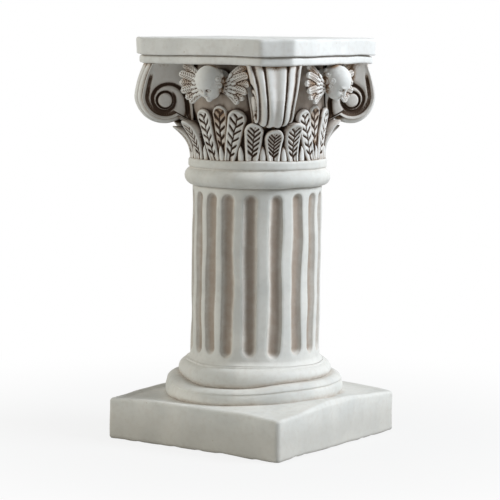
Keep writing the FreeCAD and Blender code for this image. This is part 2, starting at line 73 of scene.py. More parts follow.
# Levels and widths read from the frame
cad_low, cad_high = (np.array(corner) / MM for corner in cad_box)
plinth_bottom = size_of("plinth")[0][2]
plinth_half = size_of("plinth")[1][0]
plinth_top = top_of("plinth")
lower_ring_top = top_of("base_lower_ring")
upper_ring_top = top_of("base_upper_ring")
shaft_top = top_of("shaft")
neck_top = top_of("neck_ring")
bell_top = top_of("capital_bell")
moulding_half = size_of("abacus_moulding")[1][0]
moulding_top = top_of("abacus_moulding")
slab_half = size_of("abacus_slab")[1][0]
slab_top = top_of("abacus_slab")

# Hollow core and spigots
core_radius = 36.0
spigot_radius = 42.0
spigot_length = 6.0
core_roof = 10.0

# Plinth and base rings
plinth_corner = 3.5
plinth_edge = 2.5
plinth_hollow = 62.0
plinth_roof = 10.0
plinth_dish = 1.2
foot_radius = 65.2
foot_band_height = 12.0
lower_ring_radius = 67.0
lower_ring_neck = 59.5
crease_radius = 66.3
upper_ring_radius = 57.4
upper_ring_foot = 56.2
upper_ring_neck = 52.0

# Shaft
shaft_radius = 48.5
shaft_swell = 2.6
flute_count = 18
flute_half = 4.85
flute_depth = 3.3
flute_turn = 1.5
flute_foot_margin = 5.0
flute_head_margin = 4.5

# Neck ring and bell
neck_bead_radius = 54.6
neck_bead_height = 13.0
neck_bead_neck = 50.6
neck_band_radius = 52.0
bell_foot = 46.5
bell_flare = 4.5
bell_flare_height = 37.0
bell_radius = bell_foot + bell_flare

# Leaves
leaf_pitch = 18.0
leaf_ring_turn = 3.5
leaf_thickness = 4.5
leaf_foot_half = 4.9
leaf_half = 7.2
leaf_front = bell_foot + leaf_thickness
# Height, outward curl and lean in degrees
LEAF_KINDS = {
    "corner": (23.5, 14.5, 0.0),
    "flank": (28.5, 13.0, 6.0),
    "tall": (38.5, 4.0, 14.0),
}
tall_leaf_turn = 7.5
back_leaf_height = 40.5
back_leaf_curl = 4.0
back_leaf_setback = 2.2
bud_height = 11.0
bud_half = 2.6

# Volutes
scroll_out = 70.0
scroll_z = bell_top - 24.0
scroll_radius = 21.0
scroll_head_out = 84.0
scroll_shoulder = (88.4, bell_top - 11.5)
eye_z = bell_top - 27.0
eye_radius = 5.6
edge_crown = 4.2

# Moulding and slab
corner_cut = 17.7
moulding_setback = 2.0
cut_per_inset = 2 - math.sqrt(2)

# Winged heads
head_place = np.array([67.0, 6.5, bell_top - 13.0])
head_tilt = 34.0
head_scale = 0.93
wing_root = np.array([61.0, 13.0, bell_top - 16.0])

SIDES = {"front": -90.0, "right": 0.0, "back": 90.0, "left": 180.0}
CORNERS = {"front_right": -45.0, "back_right": 45.0, "back_left": 135.0, "front_left": 225.0}

chance = np.random.default_rng(11)


# Small tools for shapes

def smooth_step(value, low, high):
    share = np.clip((value - low) / (high - low), 0.0, 1.0)
    return share * share * (3.0 - 2.0 * share)


def hump(value, width):
    """1 at value 0, falling to nothing over about twice the width."""
    return np.exp(-(value / width) ** 2)


def wave_set(count, shortest, longest):
    """Directions, lengths and phases of waves that add up to a smooth random field."""
    ways = chance.normal(size=(count, 3))
    ways /= np.linalg.norm(ways, axis=1)[:, None]
    spans = chance.uniform(shortest, longest, count)
    return ways * (2 * math.pi / spans)[:, None], chance.uniform(0, 2 * math.pi, count)


def waves(points, wave):
    ways, phases = wave
    return np.sin(points @ ways.T + phases).sum(-1) / math.sqrt(len(phases) / 2)


CASTING_WAVES = [wave_set(12, 18.0, 60.0) for _ in range(3)]
casting_amount = 0.22
lean_angle = math.radians(35.4)
LEAN_WAY = np.array([math.cos(lean_angle), math.sin(lean_angle)])
LEAN_LEVELS = [plinth_top, lower_ring_top, neck_top, neck_top + 42]
LEAN_AMOUNTS = [-0.9, 0.5, 1.7, 0.0]


def towards(points, angle, width):
    """1 for points that lie in a direction from the axis, falling off over width degrees."""
    way = np.degrees(np.arctan2(points[..., 1], points[..., 0])) - angle
    return hump((way + 180) % 360 - 180, width)


def base_settling(points):
    """How the joints between the base rings dip where the castings were pressed together."""
    z = points[..., 2]
    crease_z = plinth_top + foot_band_height
    lower_dip = -0.8 - 5.0 * towards(points, -84, 40)
    upper_dip = -0.6 - 1.4 * towards(points, -100, 45) - 2.6 * towards(points, 8, 40)
    levels = [(plinth_top, 0.0), (crease_z, 0.7 * lower_dip), (lower_ring_top, lower_dip),
              (upper_ring_top, upper_dip), (upper_ring_top + 7, 0.0)]
    dip = 0 * z
    for (low, low_dip), (high, high_dip) in zip(levels, levels[1:]):
        share = (z - low) / (high - low)
        dip = np.where((share > 0) & (share <= 1), low_dip + share * (high_dip - low_dip), dip)
    outside = smooth_step(np.hypot(points[..., 0], points[..., 1]), spigot_radius + 1, spigot_radius + 5)
    return dip * outside


def hand_cast(points):
    """Where points of a perfect column lie on one made by hand."""
    moved = points + casting_amount * np.stack([waves(points, wave) for wave in CASTING_WAVES], -1)
    moved[..., 2] += base_settling(points)
    lean = np.interp(points[..., 2], LEAN_LEVELS, LEAN_AMOUNTS)
    moved[..., :2] += lean[..., None] * LEAN_WAY
    return np.clip(moved, cad_low, cad_high)


def turned(points, angle):
    """Points turned about the column's axis."""
    c, s = math.cos(math.radians(angle)), math.sin(math.radians(angle))
    x, y = points[..., 0], points[..., 1]
    return np.stack([c * x - s * y, s * x + c * y, points[..., 2]], -1)


def tube(rings, wrap=False):
    """Points and faces of a skin over rows of closed rings; its ends close unless it wraps."""
    rows, around = rings.shape[:2]
    index = np.arange(rows * around).reshape(rows, around)
    if wrap:
        lower, upper = index, np.roll(index, -1, 0)
    else:
        lower, upper = index[:-1], index[1:]
    corners = [lower, np.roll(lower, -1, 1), np.roll(upper, -1, 1), upper]
    faces = np.stack(corners, -1).reshape(-1, 4).tolist()
    points = rings.reshape(-1, 3)
    if not wrap:
        first, last = index[0].tolist(), index[-1].tolist()
        points = np.vstack([points, rings[0].mean(0), rings[-1].mean(0)])
        start, end = rows * around, rows * around + 1
        for i in range(around):
            j = (i + 1) % around
            faces.append([start, first[j], first[i]])
            faces.append([end, last[i], last[j]])
    return points, faces


def joined(shapes):
    """Several (points, faces, groove) shapes as one."""
    points, faces, groove, count = [], [], [], 0
    for some_points, some_faces, some_groove in shapes:
        points.append(some_points)
        faces += [[i + count for i in face] for face in some_faces]
        groove.append(some_groove)
        count += len(some_points)
    return np.vstack(points), faces, np.concatenate(groove)


def facing_out(points, faces):
    """The faces, turned round if the skin is inside out."""
    corners = np.array([face[:3] for face in faces])
    a, b, c = (points[corners[:, i]] for i in range(3))
    volume = np.einsum("ij,ij->i", a, np.cross(b, c)).sum()
    volume += sum(np.dot(points[f[0]], np.cross(points[f[2]], points[f[3]])) for f in faces if len(f) > 3)
    return faces if volume > 0 else [face[::-1] for face in faces]


built = []


def piece(name, shape, material_name, nodes, angle=0.0):
    """Makes a mesh from a shape in millimetres, in place of frame nodes."""
    points, faces, groove = shape
    points = hand_cast(turned(points, angle))
    mesh = bpy.data.meshes.new(name)
    mesh.from_pydata((points * MM).tolist(), [], facing_out(points, faces))
    mesh.validate()
    mesh.attributes.new("groove", "FLOAT", "POINT").data.foreach_set("value", np.clip(groove, 0.0, 1.0))
    mesh.shade_smooth()
    thing = bpy.data.objects.new(name, mesh)
    bpy.context.scene.collection.objects.link(thing)
    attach(thing, "root")
    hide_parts(*nodes)
    built.append((thing, material_name))
    return thing


# Profiles and turned pieces

def arc_points(start, middle, end, spacing):
    """Points after start on the arc through middle to end."""
    (ax, ay), (bx, by), (cx, cy) = start, middle, end
    d = 2 * (ax * (by - cy) + bx * (cy - ay) + cx * (ay - by))
    aa, bb, cc = ax * ax + ay * ay, bx * bx + by * by, cx * cx + cy * cy
    ux = (aa * (by - cy) + bb * (cy - ay) + cc * (ay - by)) / d
    uy = (aa * (cx - bx) + bb * (ax - cx) + cc * (bx - ax)) / d
    radius = math.hypot(ax - ux, ay - uy)
    first, mid, last = (math.atan2(y - uy, x - ux) for x, y in (start, middle, end))
    sweep = (last - first) % (2 * math.pi)
    if (mid - first) % (2 * math.pi) > sweep:
        sweep -= 2 * math.pi
    count = max(2, int(abs(sweep) * radius / spacing))
    angles = first + sweep * np.arange(1, count + 1) / count
    return [(ux + radius * math.cos(a), uy + radius * math.sin(a)) for a in angles]


def profile(start, steps, spacing=0.8):
    """Points along lines (a, b) and arcs (mid a, mid b, end a, end b)."""
    points = [start]
    for step in steps:
        here, end = points[-1], tuple(step[-2:])
        if len(step) == 4:
            points += arc_points(here, tuple(step[:2]), end, spacing)
        else:
            count = max(1, int(math.dist(here, end) / spacing))
            run = np.array(end) - here
            points += [tuple(np.array(here) + run * i / count) for i in range(1, count + 1)]
    return np.array(points)


def softened(points, spacing, reach, closed):
    """The same line with even spacing and corners rounded over about reach."""
    line = np.vstack([points, points[:1]]) if closed else points
    run = np.concatenate([[0], np.cumsum(np.linalg.norm(np.diff(line, axis=0), axis=1))])
    count = int(run[-1] / spacing)
    at = np.linspace(0, run[-1], count, endpoint=not closed)
    even = np.stack([np.interp(at, run, line[:, i]) for i in range(2)], -1)
    half = int(3 * reach / spacing) + 1
    weights = np.exp(-0.5 * (np.arange(-half, half + 1) * spacing / reach) ** 2)
    padded = np.pad(even, ((half, half), (0, 0)), mode="wrap" if closed else "edge")
    kernel = weights / weights.sum()
    smooth = np.stack([np.convolve(padded[:, i], kernel, mode="valid") for i in range(2)], -1)
    if not closed:
        smooth[0], smooth[-1] = even[0], even[-1]
    return smooth


def lathe(outline, around, closed=True):
    """Rings of an outline of (radius, height) points turned about the axis."""
    angles = np.linspace(0, 2 * math.pi, around, endpoint=False)
    radius, height = outline[:, 0, None], outline[:, 1, None]
    rings = np.stack([radius * np.cos(angles), radius * np.sin(angles), height + 0 * angles], -1)
    return tube(rings, wrap=closed)


def hollow_steps(top, bottom):
    """A ring's inside, from its top face round to its foot: a socket, the core and a spigot."""
    return [
        (spigot_radius, top),
        (spigot_radius, top - spigot_length),
        (core_radius, top - spigot_length),
        (core_radius, bottom - spigot_length),
        (spigot_radius, bottom - spigot_length),
        (spigot_radius, bottom),
    ]


def lower_ring_shape():
    crease_z = plinth_top + foot_band_height
    shoulder = ((crease_radius + lower_ring_neck) / 2 + 1.6, (crease_z + lower_ring_top) / 2 + 0.7)
    steps = [
        (lower_ring_radius, plinth_top + foot_band_height * 0.55, crease_radius - 0.6, crease_z),
        (crease_radius, crease_z + 0.5),
        shoulder + (lower_ring_neck, lower_ring_top),
    ]
    steps += hollow_steps(lower_ring_top, plinth_top)
    outline = softened(profile((foot_radius, plinth_top), steps), 0.7, 0.5, True)
    points, faces = lathe(outline, 360)
    outside = np.hypot(points[:, 0], points[:, 1]) - foot_radius
    crease = hump(points[:, 2] - crease_z, 0.8) * smooth_step(outside, -1, 0) * towards(points, -10, 45)
    points[:, :2] *= (1 - 0.010 * crease)[:, None]
    return points, faces, 0.35 * crease


def upper_ring_shape():
    middle_z = (lower_ring_top + upper_ring_top - 1.2) / 2
    steps = [
        (upper_ring_radius, middle_z, upper_ring_neck, upper_ring_top - 1.2),
        (upper_ring_neck, upper_ring_top),
    ]
    steps += hollow_steps(upper_ring_top, lower_ring_top)
    outline = softened(profile((upper_ring_foot, lower_ring_top), steps), 0.6, 0.4, True)
    points, faces = lathe(outline, 340)
    return points, faces, np.zeros(len(points))


def neck_ring_shape():
    bead_top = shaft_top + neck_bead_height
    steps = [
        (neck_bead_radius, shaft_top + neck_bead_height / 2, neck_bead_neck, bead_top),
        (neck_band_radius, bead_top + 1.2),
        (neck_band_radius, neck_top - 1.0),
        (neck_band_radius - 1.0, neck_top),
    ]
    steps += hollow_steps(neck_top, shaft_top)
    outline = softened(profile((neck_bead_neck, shaft_top), steps), 0.6, 0.45, True)
    points, faces = lathe(outline, 320)
    height = points[:, 2]
    outside = np.hypot(points[:, 0], points[:, 1]) > neck_bead_neck - 2
    return points, faces, 0.4 * hump(height - bead_top - 0.3, 0.8) * outside


def bell_shape():
    """A cup that opens downwards, with its spigot below."""
    arc_radius = (bell_flare_height ** 2 + bell_flare ** 2) / (2 * bell_flare)
    half = math.asin(bell_flare_height / arc_radius) / 2
    steps = [
        (core_radius, bell_top - core_roof),
        (core_radius, neck_top - spigot_length),
        (spigot_radius, neck_top - spigot_length),
        (spigot_radius, neck_top),
        (bell_foot, neck_top),
        (bell_foot + arc_radius * (1 - math.cos(half)), neck_top + arc_radius * math.sin(half),
         bell_radius, neck_top + bell_flare_height),
        (bell_radius, bell_top),
        (1.0, bell_top),
    ]
    outline = softened(profile((1.0, bell_top - core_roof), steps, 1.0), 1.0, 0.4, False)
    points, faces = lathe(outline, 240, closed=False)
    ground = 0.68 * (np.hypot(points[:, 0], points[:, 1]) > spigot_radius + 1)
    return points, faces, ground


def shaft_shape():
    """A hollow drum with upright flutes, each a little different along its way."""
    around = 720
    angles = np.linspace(0, 2 * math.pi, around, endpoint=False)
    low, high, end_zone = upper_ring_top, shaft_top, 14
    heights = np.concatenate([np.arange(low, low + end_zone, 0.5),
                              np.arange(low + end_zone, high - end_zone, 1.4),
                              np.linspace(high - end_zone, high, 29)])
    pitch = 2 * math.pi / flute_count
    number = np.round((angles - math.radians(flute_turn)) / pitch).astype(int) % flute_count
    centre = math.radians(flute_turn) + number * pitch
    offset = (angles - centre + math.pi) % (2 * math.pi) - math.pi
    by_eye = 2.2 * np.sin(3 * (centre + math.radians(42.6)))
    slip = by_eye + chance.uniform(-0.3, 0.3, flute_count)[number]
    fullness = chance.uniform(1.0, 1.12, flute_count)[number]
    low_end = upper_ring_top + flute_foot_margin + chance.uniform(-0.8, 0.8, flute_count)[number]
    high_end = shaft_top - flute_head_margin + chance.uniform(-0.6, 0.6, flute_count)[number]
    z = heights[:, None]
    sway = 0.45 * np.sin(z / chance.uniform(14, 26, flute_count)[number] + 2.4 * number)
    pinch = 1.0 + 0.05 * np.sin(z / chance.uniform(9, 17, flute_count)[number] + 1.7 * number)
    side = offset * shaft_radius - slip - sway
    half = flute_half * fullness * pinch
    past_end = np.maximum(np.maximum(low_end + half - z, z - high_end + half), 0.0)
    reach = np.hypot(side, past_end) / half
    bowl = flute_depth * np.clip(1 - reach ** 3, 0, 1) ** 0.9
    lip = 0.25 * hump(reach - 1.08, 0.10)
    swell = shaft_swell * np.clip(1 - (z - upper_ring_top) / 3.2, 0, 1) ** 2
    top_round = 0.7 * hump(z - shaft_top, 0.8)
    radius = shaft_radius + swell - top_round - bowl - lip
    rings = np.stack([radius * np.cos(angles), radius * np.sin(angles), z + 0 * angles], -1)
    inner = [(core_radius, shaft_top), (core_radius, upper_ring_top - spigot_length),
             (spigot_radius, upper_ring_top - spigot_length), (spigot_radius, upper_ring_top)]
    inner = [np.stack([r * np.cos(angles), r * np.sin(angles), level + 0 * angles], -1) for r, level in inner]
    points, faces = tube(np.concatenate([rings, np.array(inner)]), wrap=True)
    groove = np.clip(bowl / flute_depth, 0, 1) ** 0.9 + 0.3 * hump(reach - 0.95, 0.09)
    return points, faces, np.concatenate([groove.ravel(), np.zeros(4 * around)])


# Square pieces

def rounded_square(half, corner, per_side):
    """Points round a square with round corners."""
    straight = half - corner
    run = np.linspace(-straight, straight, per_side)
    bend = np.linspace(0, math.pi / 2, 8)[1:-1]
    side = np.stack([half + 0 * run, run], -1)
    turn = np.stack([straight + corner * np.cos(bend), straight + corner * np.sin(bend)], -1)
    quarter = np.vstack([side, turn])
    quarters = []
    for _ in range(4):
        quarters.append(quarter)
        quarter = quarter @ np.array([[0, 1], [-1, 0]])
    return np.vstack(quarters)


def plinth_shape():
    """A square foot with a dished top, hollow underneath."""
    per_side = 84
    square = rounded_square(plinth_half, plinth_corner, per_side)
    way = square / np.linalg.norm(square, axis=1)[:, None]
    wall = [(0, 0.0, z) for z in np.linspace(plinth_bottom + 0.9, plinth_top - plinth_edge, 20)]
    bends = np.linspace(0, math.pi / 2, 7)[1:]
    edge = [(0, plinth_edge * (1 - math.cos(a)), plinth_top - plinth_edge * (1 - math.sin(a)))
            for a in bends]
    deck = [(t, (1 - t) * plinth_edge + t * foot_radius, plinth_top) for t in np.linspace(0.06, 1, 18)]
    well = [(1, r, plinth_top) for r in (55.0, 48.0, spigot_radius)]
    roof_z = plinth_top - plinth_roof
    well += [(1, spigot_radius, roof_z), (1, plinth_hollow, roof_z), (1, plinth_hollow, plinth_bottom)]
    under = [(t, (1 - t) * 0.9 + t * plinth_hollow, plinth_bottom) for t in np.linspace(0.85, 0, 6)]
    rings = []
    for blend, size, z in wall + edge + deck + well + under:
        if blend == 0:
            flat = rounded_square(plinth_half - size, max(plinth_corner - size, 0.6), per_side)
        else:
            reach = foot_radius if z == plinth_top and blend < 1 else size
            shrunk = square * (1 - plinth_edge / plinth_half)
            flat = (1 - blend) * shrunk + blend * way * reach
        rings.append(np.column_stack([flat, np.full(len(flat), z)]))
    points, faces = tube(np.array(rings), wrap=True)
    on_top = smooth_step(points[:, 2], plinth_top - 0.5, plinth_top - 0.1)
    rim = plinth_half - np.abs(points[:, :2]).max(1)
    out = np.hypot(points[:, 0], points[:, 1])
    x, y = points[:, 0], points[:, 1]
    near_corner = np.minimum(np.abs(x), np.abs(y)) / plinth_half
    crown = (2.9 + 0.7 * x / (out + 1) + 0.5 * y / (out + 1)) * (1 - near_corner ** 2) - 1.7
    outer_zone = smooth_step(out, foot_radius - 4, foot_radius + 8)
    dish = smooth_step(rim, plinth_edge + 0.3, plinth_edge + 5.5) * outer_zone
    dish *= 1 - 0.7 * towards(points, -30, 60)
    heaped = 3.4 * towards(points, -22, 52) * (1 - smooth_step(out, foot_radius + 1, foot_radius + 26))
    lift = smooth_step(points[:, 2], plinth_top - 13, plinth_top - 1) * smooth_step(out, spigot_radius, 56)
    deck_change = (heaped - plinth_dish * dish) * on_top * smooth_step(out, 52, 60)
    points[:, 2] += crown * lift * outer_zone + deck_change
    chips = np.clip(waves(points, wave_set(9, 7, 22)), 0, 2) * 0.30
    low_edge = smooth_step(plinth_bottom + 1.2 - points[:, 2], 0, 1) * (rim < 1.5)
    points[:, 2] += (chips - 0.7 * towards(points, -135, 30)) * low_edge
    return points, faces, 0.3 * low_edge


def cut_square(half, chamfer, spacing):
    """Points round a square with its corners cut off, the cuts' ends a little round."""
    near = half - chamfer
    corners = [(half, -near), (half, near), (near, half), (-near, half),
               (-half, near), (-half, -near), (-near, -half), (near, -half)]
    counts = [int(2 * (slab_half - corner_cut) / spacing), int(corner_cut * math.sqrt(2) / spacing)] * 4
    points = []
    for i, count in enumerate(counts):
        a, b = np.array(corners[i]), np.array(corners[(i + 1) % 8])
        points += [a + (b - a) * j / count for j in range(count)]
    points = np.array(points)
    for _ in range(3):
        points = (np.roll(points, 1, 0) + 2 * points + np.roll(points, -1, 0)) / 4
    return points


def stacked(stations, half, chamfer):
    """A solid of cut squares; a station is (inset, height)."""
    rings = []
    for inset, z in stations:
        flat = cut_square(half - inset, chamfer - inset * cut_per_inset, 1.3)
        rings.append(np.column_stack([flat, np.full(len(flat), z)]))
    return tube(np.array(rings))


def moulding_shape():
    lip_round = 1.6
    lip_top = moulding_top - 0.8
    bends = np.linspace(0, math.pi / 2, 6)
    stations = [(inset, bell_top) for inset in (28, 24, 20, 16, 12, 8, 5, 3)]
    stations += [(lip_round * (1 - math.sin(a)), bell_top + lip_round * (1 - math.cos(a))) for a in bends]
    stations += [(0.0, z) for z in np.linspace(bell_top + lip_round, lip_top - lip_round, 4)[1:]]
    stations += [(lip_round * (1 - math.cos(a)), lip_top - lip_round * (1 - math.sin(a))) for a in bends[1:]]
    stations += [(2.3, lip_top + 0.2), (2.3, moulding_top), (8, moulding_top), (24, moulding_top)]
    points, faces = stacked(stations, moulding_half, corner_cut - moulding_setback * cut_per_inset)
    groove = smooth_step(points[:, 2], lip_top - 0.6, lip_top)
    return points, faces, groove


def slab_shape():
    edge = 2.2
    bends = np.linspace(0, math.pi / 2, 7)
    stations = [(30, moulding_top), (16, moulding_top), (6, moulding_top)]
    stations += [(1.1 * (1 - math.sin(a)), moulding_top + 1.1 * (1 - math.cos(a))) for a in bends]
    stations += [(0.0, z) for z in np.linspace(moulding_top + 1.1, slab_top - edge, 9)[1:]]
    stations += [(edge * (1 - math.cos(a)), slab_top - edge * (1 - math.sin(a))) for a in bends[1:]]
    stations += [(inset, slab_top) for inset in (4, 7, 12, 18, 25, 35, 48)]
    points, faces = stacked(stations, slab_half, corner_cut)
    return points, faces, np.zeros(len(points))


# Leaves

def leaf_shape(height, curl, lean, front=leaf_front, narrow=None):
    """A tongue with a thick rolled border, a zigzag midrib and slanted veins."""
    half, foot = leaf_half, leaf_foot_half
    straight = height - half
    rows = int(straight / 0.42)
    bends = np.linspace(0, math.radians(87), 20)[1:]
    rise = np.concatenate([np.linspace(0, straight, rows), straight + half * np.sin(bends)])
    width = np.concatenate([np.linspace(foot, half, rows), half * np.cos(bends)])
    if narrow is not None:
        width = np.minimum(width, narrow(rise))
    share = np.linspace(-1, 1, 41)
    side = share[None, :] * width[:, None]
    z = rise[:, None] + 0 * side
    bend = (curl ** 2 + height ** 2) / (2 * curl)
    front_out = front + bend - np.sqrt(bend ** 2 - rise ** 2)
    inside = width[:, None] - np.abs(side)
    tip = half - np.hypot(side, np.maximum(z - straight, 0))
    inside = np.where(z > straight, np.minimum(inside, tip), inside)
    roll = 2.6 * (1 - np.sqrt(1 - np.clip(1 - inside / 2.1, 0, 1) ** 2))
    middle = 0.45 * np.abs(((z / 4.4) % 2) - 1) - 0.22
    inner = smooth_step(inside, 2.1, 3.1)
    step = (height - 8.5) / 5.5
    slant = math.radians(42)
    slanted = z - np.abs(side - middle) * math.tan(slant) - height * 0.14
    phase = slanted / step + 0.3 * (side > middle)
    off_vein = np.abs(phase - np.round(phase)) * step * math.cos(slant)
    vein_room = smooth_step(inside, 1.7, 2.5) * smooth_step(height - z, 2.6, 4.2) * (phase > -0.4)
    vein = hump(off_vein, 0.72) * vein_room * smooth_step(np.abs(side - middle), 0.0, 0.5)
    rib = hump(side - middle, 0.42) * smooth_step(height - z, 4.0, 6.0)
    cut = np.maximum(vein, rib)
    depth = roll + 0.9 * inner + 1.5 * cut - 1.1 * hump(z / height - 0.52, 0.26) * inner
    out = front_out[:, None] - depth
    bell_out = bell_foot + bell_flare * np.clip(rise / bell_flare_height, 0, 1) ** 2
    behind = bell_out - 0.4
    back_share = np.linspace(1, -1, 9)
    back_side = back_share[None, :] * width[:, None] * 0.96
    back_out = behind[:, None] + 0 * back_side
    all_side = np.concatenate([side, back_side], 1)
    all_out = np.concatenate([np.maximum(out, behind[:, None] + 0.3), back_out], 1)
    all_z = np.broadcast_to(rise[:, None], all_side.shape)
    tilt = math.radians(lean)
    y = all_side * math.cos(tilt) + all_z * math.sin(tilt)
    z = all_z * math.cos(tilt) - all_side * math.sin(tilt)
    x = np.sqrt(np.maximum(all_out ** 2 - y ** 2, 1.0))
    rings = np.stack([x, y, neck_top + z], -1)
    rings[0, :, 2] = neck_top
    points, faces = tube(rings)
    border = 0.45 * hump(inside - 0.1, 0.7) + 0.25 * hump(inside - 2.9, 0.5)
    groove = np.concatenate([np.maximum(cut * 1.3, border), np.full(back_side.shape, 0.9)], 1)
    return points, faces, np.concatenate([groove.ravel(), [0.5, 0.6]])


def back_leaf_shape():
    def room(rise):
        return 3.2 + 0.117 * rise
    return leaf_shape(back_leaf_height, back_leaf_curl, 0.0, leaf_front - back_leaf_setback, narrow=room)


def bud_shape():
    """A small spear between two feet."""
    rise = bud_height * np.sin(np.linspace(0, math.radians(88), 26))
    width = bud_half * np.clip(1 - (rise / bud_height) ** 2.2, 0.01, 1) ** 0.7
    share = np.linspace(-1, 1, 15)
    side = share[None, :] * width[:, None]
    swell = np.sqrt(np.clip(1 - share ** 2, 0, 1))[None, :] * np.minimum(width, 1.6)[:, None]
    out = (bell_foot + 2.4 + 0.10 * rise)[:, None] + 1.1 * swell
    back_side = np.linspace(1, -1, 5)[None, :] * width[:, None]
    all_side = np.concatenate([side, back_side], 1)
    all_out = np.concatenate([out, bell_foot - 0.3 + 0 * back_side], 1)
    x = np.sqrt(all_out ** 2 - all_side ** 2)
    rings = np.stack([x, all_side, neck_top + rise[:, None] + 0 * x], -1)
    points, faces = tube(rings)
    groove = np.concatenate([0.8 * np.abs(share) ** 6 + 0 * side, 0.8 + 0 * back_side], 1)
    return points, faces, np.concatenate([groove.ravel(), [0.5, 0.3]])


# Volutes

def scroll_line(inset):
    """The volute's side outline, from its lower inner end round to the bell's wall."""
    radius = scroll_radius - inset
    angles = np.radians(np.linspace(-124, 0, 150))
    low = np.stack([scroll_out + radius * np.cos(angles), scroll_z + radius * np.sin(angles)], -1)
    head = (scroll_head_out - inset, bell_top)
    shoulder = (scroll_shoulder[0] - inset, scroll_shoulder[1])
    rise = profile(tuple(low[-1]), [shoulder + head], 0.36)[1:]
    rise = np.stack([np.interp(np.linspace(0, 1, 72), np.linspace(0, 1, len(rise)), rise[:, i])
                     for i in range(2)], -1)
    wall = bell_radius - 1.0
    top = np.linspace(head, (wall, bell_top), 30)[1:]
    foot_z = low[0][1] - 5.5
    inner = np.linspace((wall, bell_top), (wall, foot_z), 34)[1:]
    under = np.linspace((wall, foot_z), low[0], 6)[1:-1]
    return np.vstack([low, rise, top, inner, under])


def scroll_half_width(z):
    """Half of the volute's width: narrow at its foot, flared at its head."""
    foot_z, foot, middle, head = scroll_z - 22, 12.4, 14.3, 19.5
    slope = (middle - foot) / (scroll_z - foot_z)
    head_slope = (head - middle) / (bell_top - scroll_z)
    curve = (head_slope - slope) / (bell_top - foot_z)
    return foot + slope * (z - foot_z) + curve * (z - foot_z) * (z - scroll_z)


def edge_inset(share):
    """How far the edge lies inside the outline: a crown with ridges and grooves."""
    u = np.abs(share)
    return edge_crown * u ** 2 + 2.0 * hump(u - 0.44, 0.06) + 1.7 * hump(u - 0.83, 0.08) + 1.1 * hump(u, 0.16)


def spiral_relief(out, z, from_rim):
    """Depth of the carving on the volute's side, and how much of it is groove."""
    dx, dz = out - scroll_out, z - eye_z
    radius = np.hypot(dx, dz)
    turn = (0.25 - np.arctan2(dz, dx) / (2 * math.pi)) % 1.0
    groove = 0 * radius
    for lap in (0, 1):
        n = turn + lap
        line = eye_radius + 0.9 + 9.6 * np.exp(-2.4 * (n - 0.75))
        strength = smooth_step(n, 0.45, 0.80) * (1 - smooth_step(n, 1.80, 2.0))
        groove = np.maximum(groove, hump(radius - line, 1.5) * strength)
    channel = smooth_step(from_rim, 1.4, 2.6) * (1 - smooth_step(from_rim, 3.4, 6.0))
    channel *= (1 - 0.75 * smooth_step(turn, 0.60, 0.75) * (turn < 0.95)) * smooth_step(bell_top - z, 5, 12)
    ring = hump(radius - eye_radius - 0.5, 0.9)
    dome = 1.3 * np.sqrt(np.clip(1 - (radius / eye_radius) ** 2, 0, 1))
    cuts = np.maximum(groove, ring)
    depth = 3.0 * cuts + 2.0 * channel + 0.5 - dome - 0.5 * hump(from_rim, 1.0)
    return depth, np.clip(0.24 + 0.44 * cuts + 0.26 * channel, 0, 1)


def volute_shape():
    """One skin: out over one side, across the ridged edge and back over the other side."""
    plain, inner = scroll_line(0.0), scroll_line(1.0)
    per_mm = inner - plain
    eye = np.array([scroll_out, eye_z])
    rim = plain + edge_inset(1.0) * per_mm
    reach = np.concatenate([np.linspace(0.03, 0.9, 44), np.linspace(0.91, 1.0, 10)])
    spokes = eye + reach[:, None, None] * (rim - eye)
    from_rim = (1 - reach)[:, None] * np.linalg.norm(rim - eye, axis=1)
    depth, groove = spiral_relief(spokes[..., 0], spokes[..., 1], from_rim)
    half = scroll_half_width(spokes[..., 1])
    near = np.stack([spokes[..., 0], half - depth, spokes[..., 1]], -1)
    far = near * np.array([1.0, -1.0, 1.0])
    shares = np.linspace(1, -1, 75)[1:-1]
    insets = edge_inset(shares)
    line = plain + insets[:, None, None] * per_mm
    edge = np.stack([line[..., 0], shares[:, None] * scroll_half_width(line[..., 1]), line[..., 1]], -1)
    points, faces = tube(np.concatenate([near, edge, far[::-1]]))
    hidden = np.abs(shares)
    edge_groove = hump(hidden - 0.44, 0.05) + 0.8 * hump(hidden - 0.83, 0.08) + 0.25 * hump(hidden, 0.15)
    edge_groove = edge_groove[:, None] * np.ones(len(plain))
    groove = np.concatenate([groove, edge_groove, groove[::-1]])
    return points, faces, np.concatenate([groove.ravel(), [0, 0]])


# Carved forms from fields of distance

def grid(low, high, step):
    """Points of a grid, as (x, y, z) arrays."""
    axes = [np.arange(low[i], high[i] + step, step) for i in range(3)]
    return np.stack(np.meshgrid(*axes, indexing="ij"), -1)


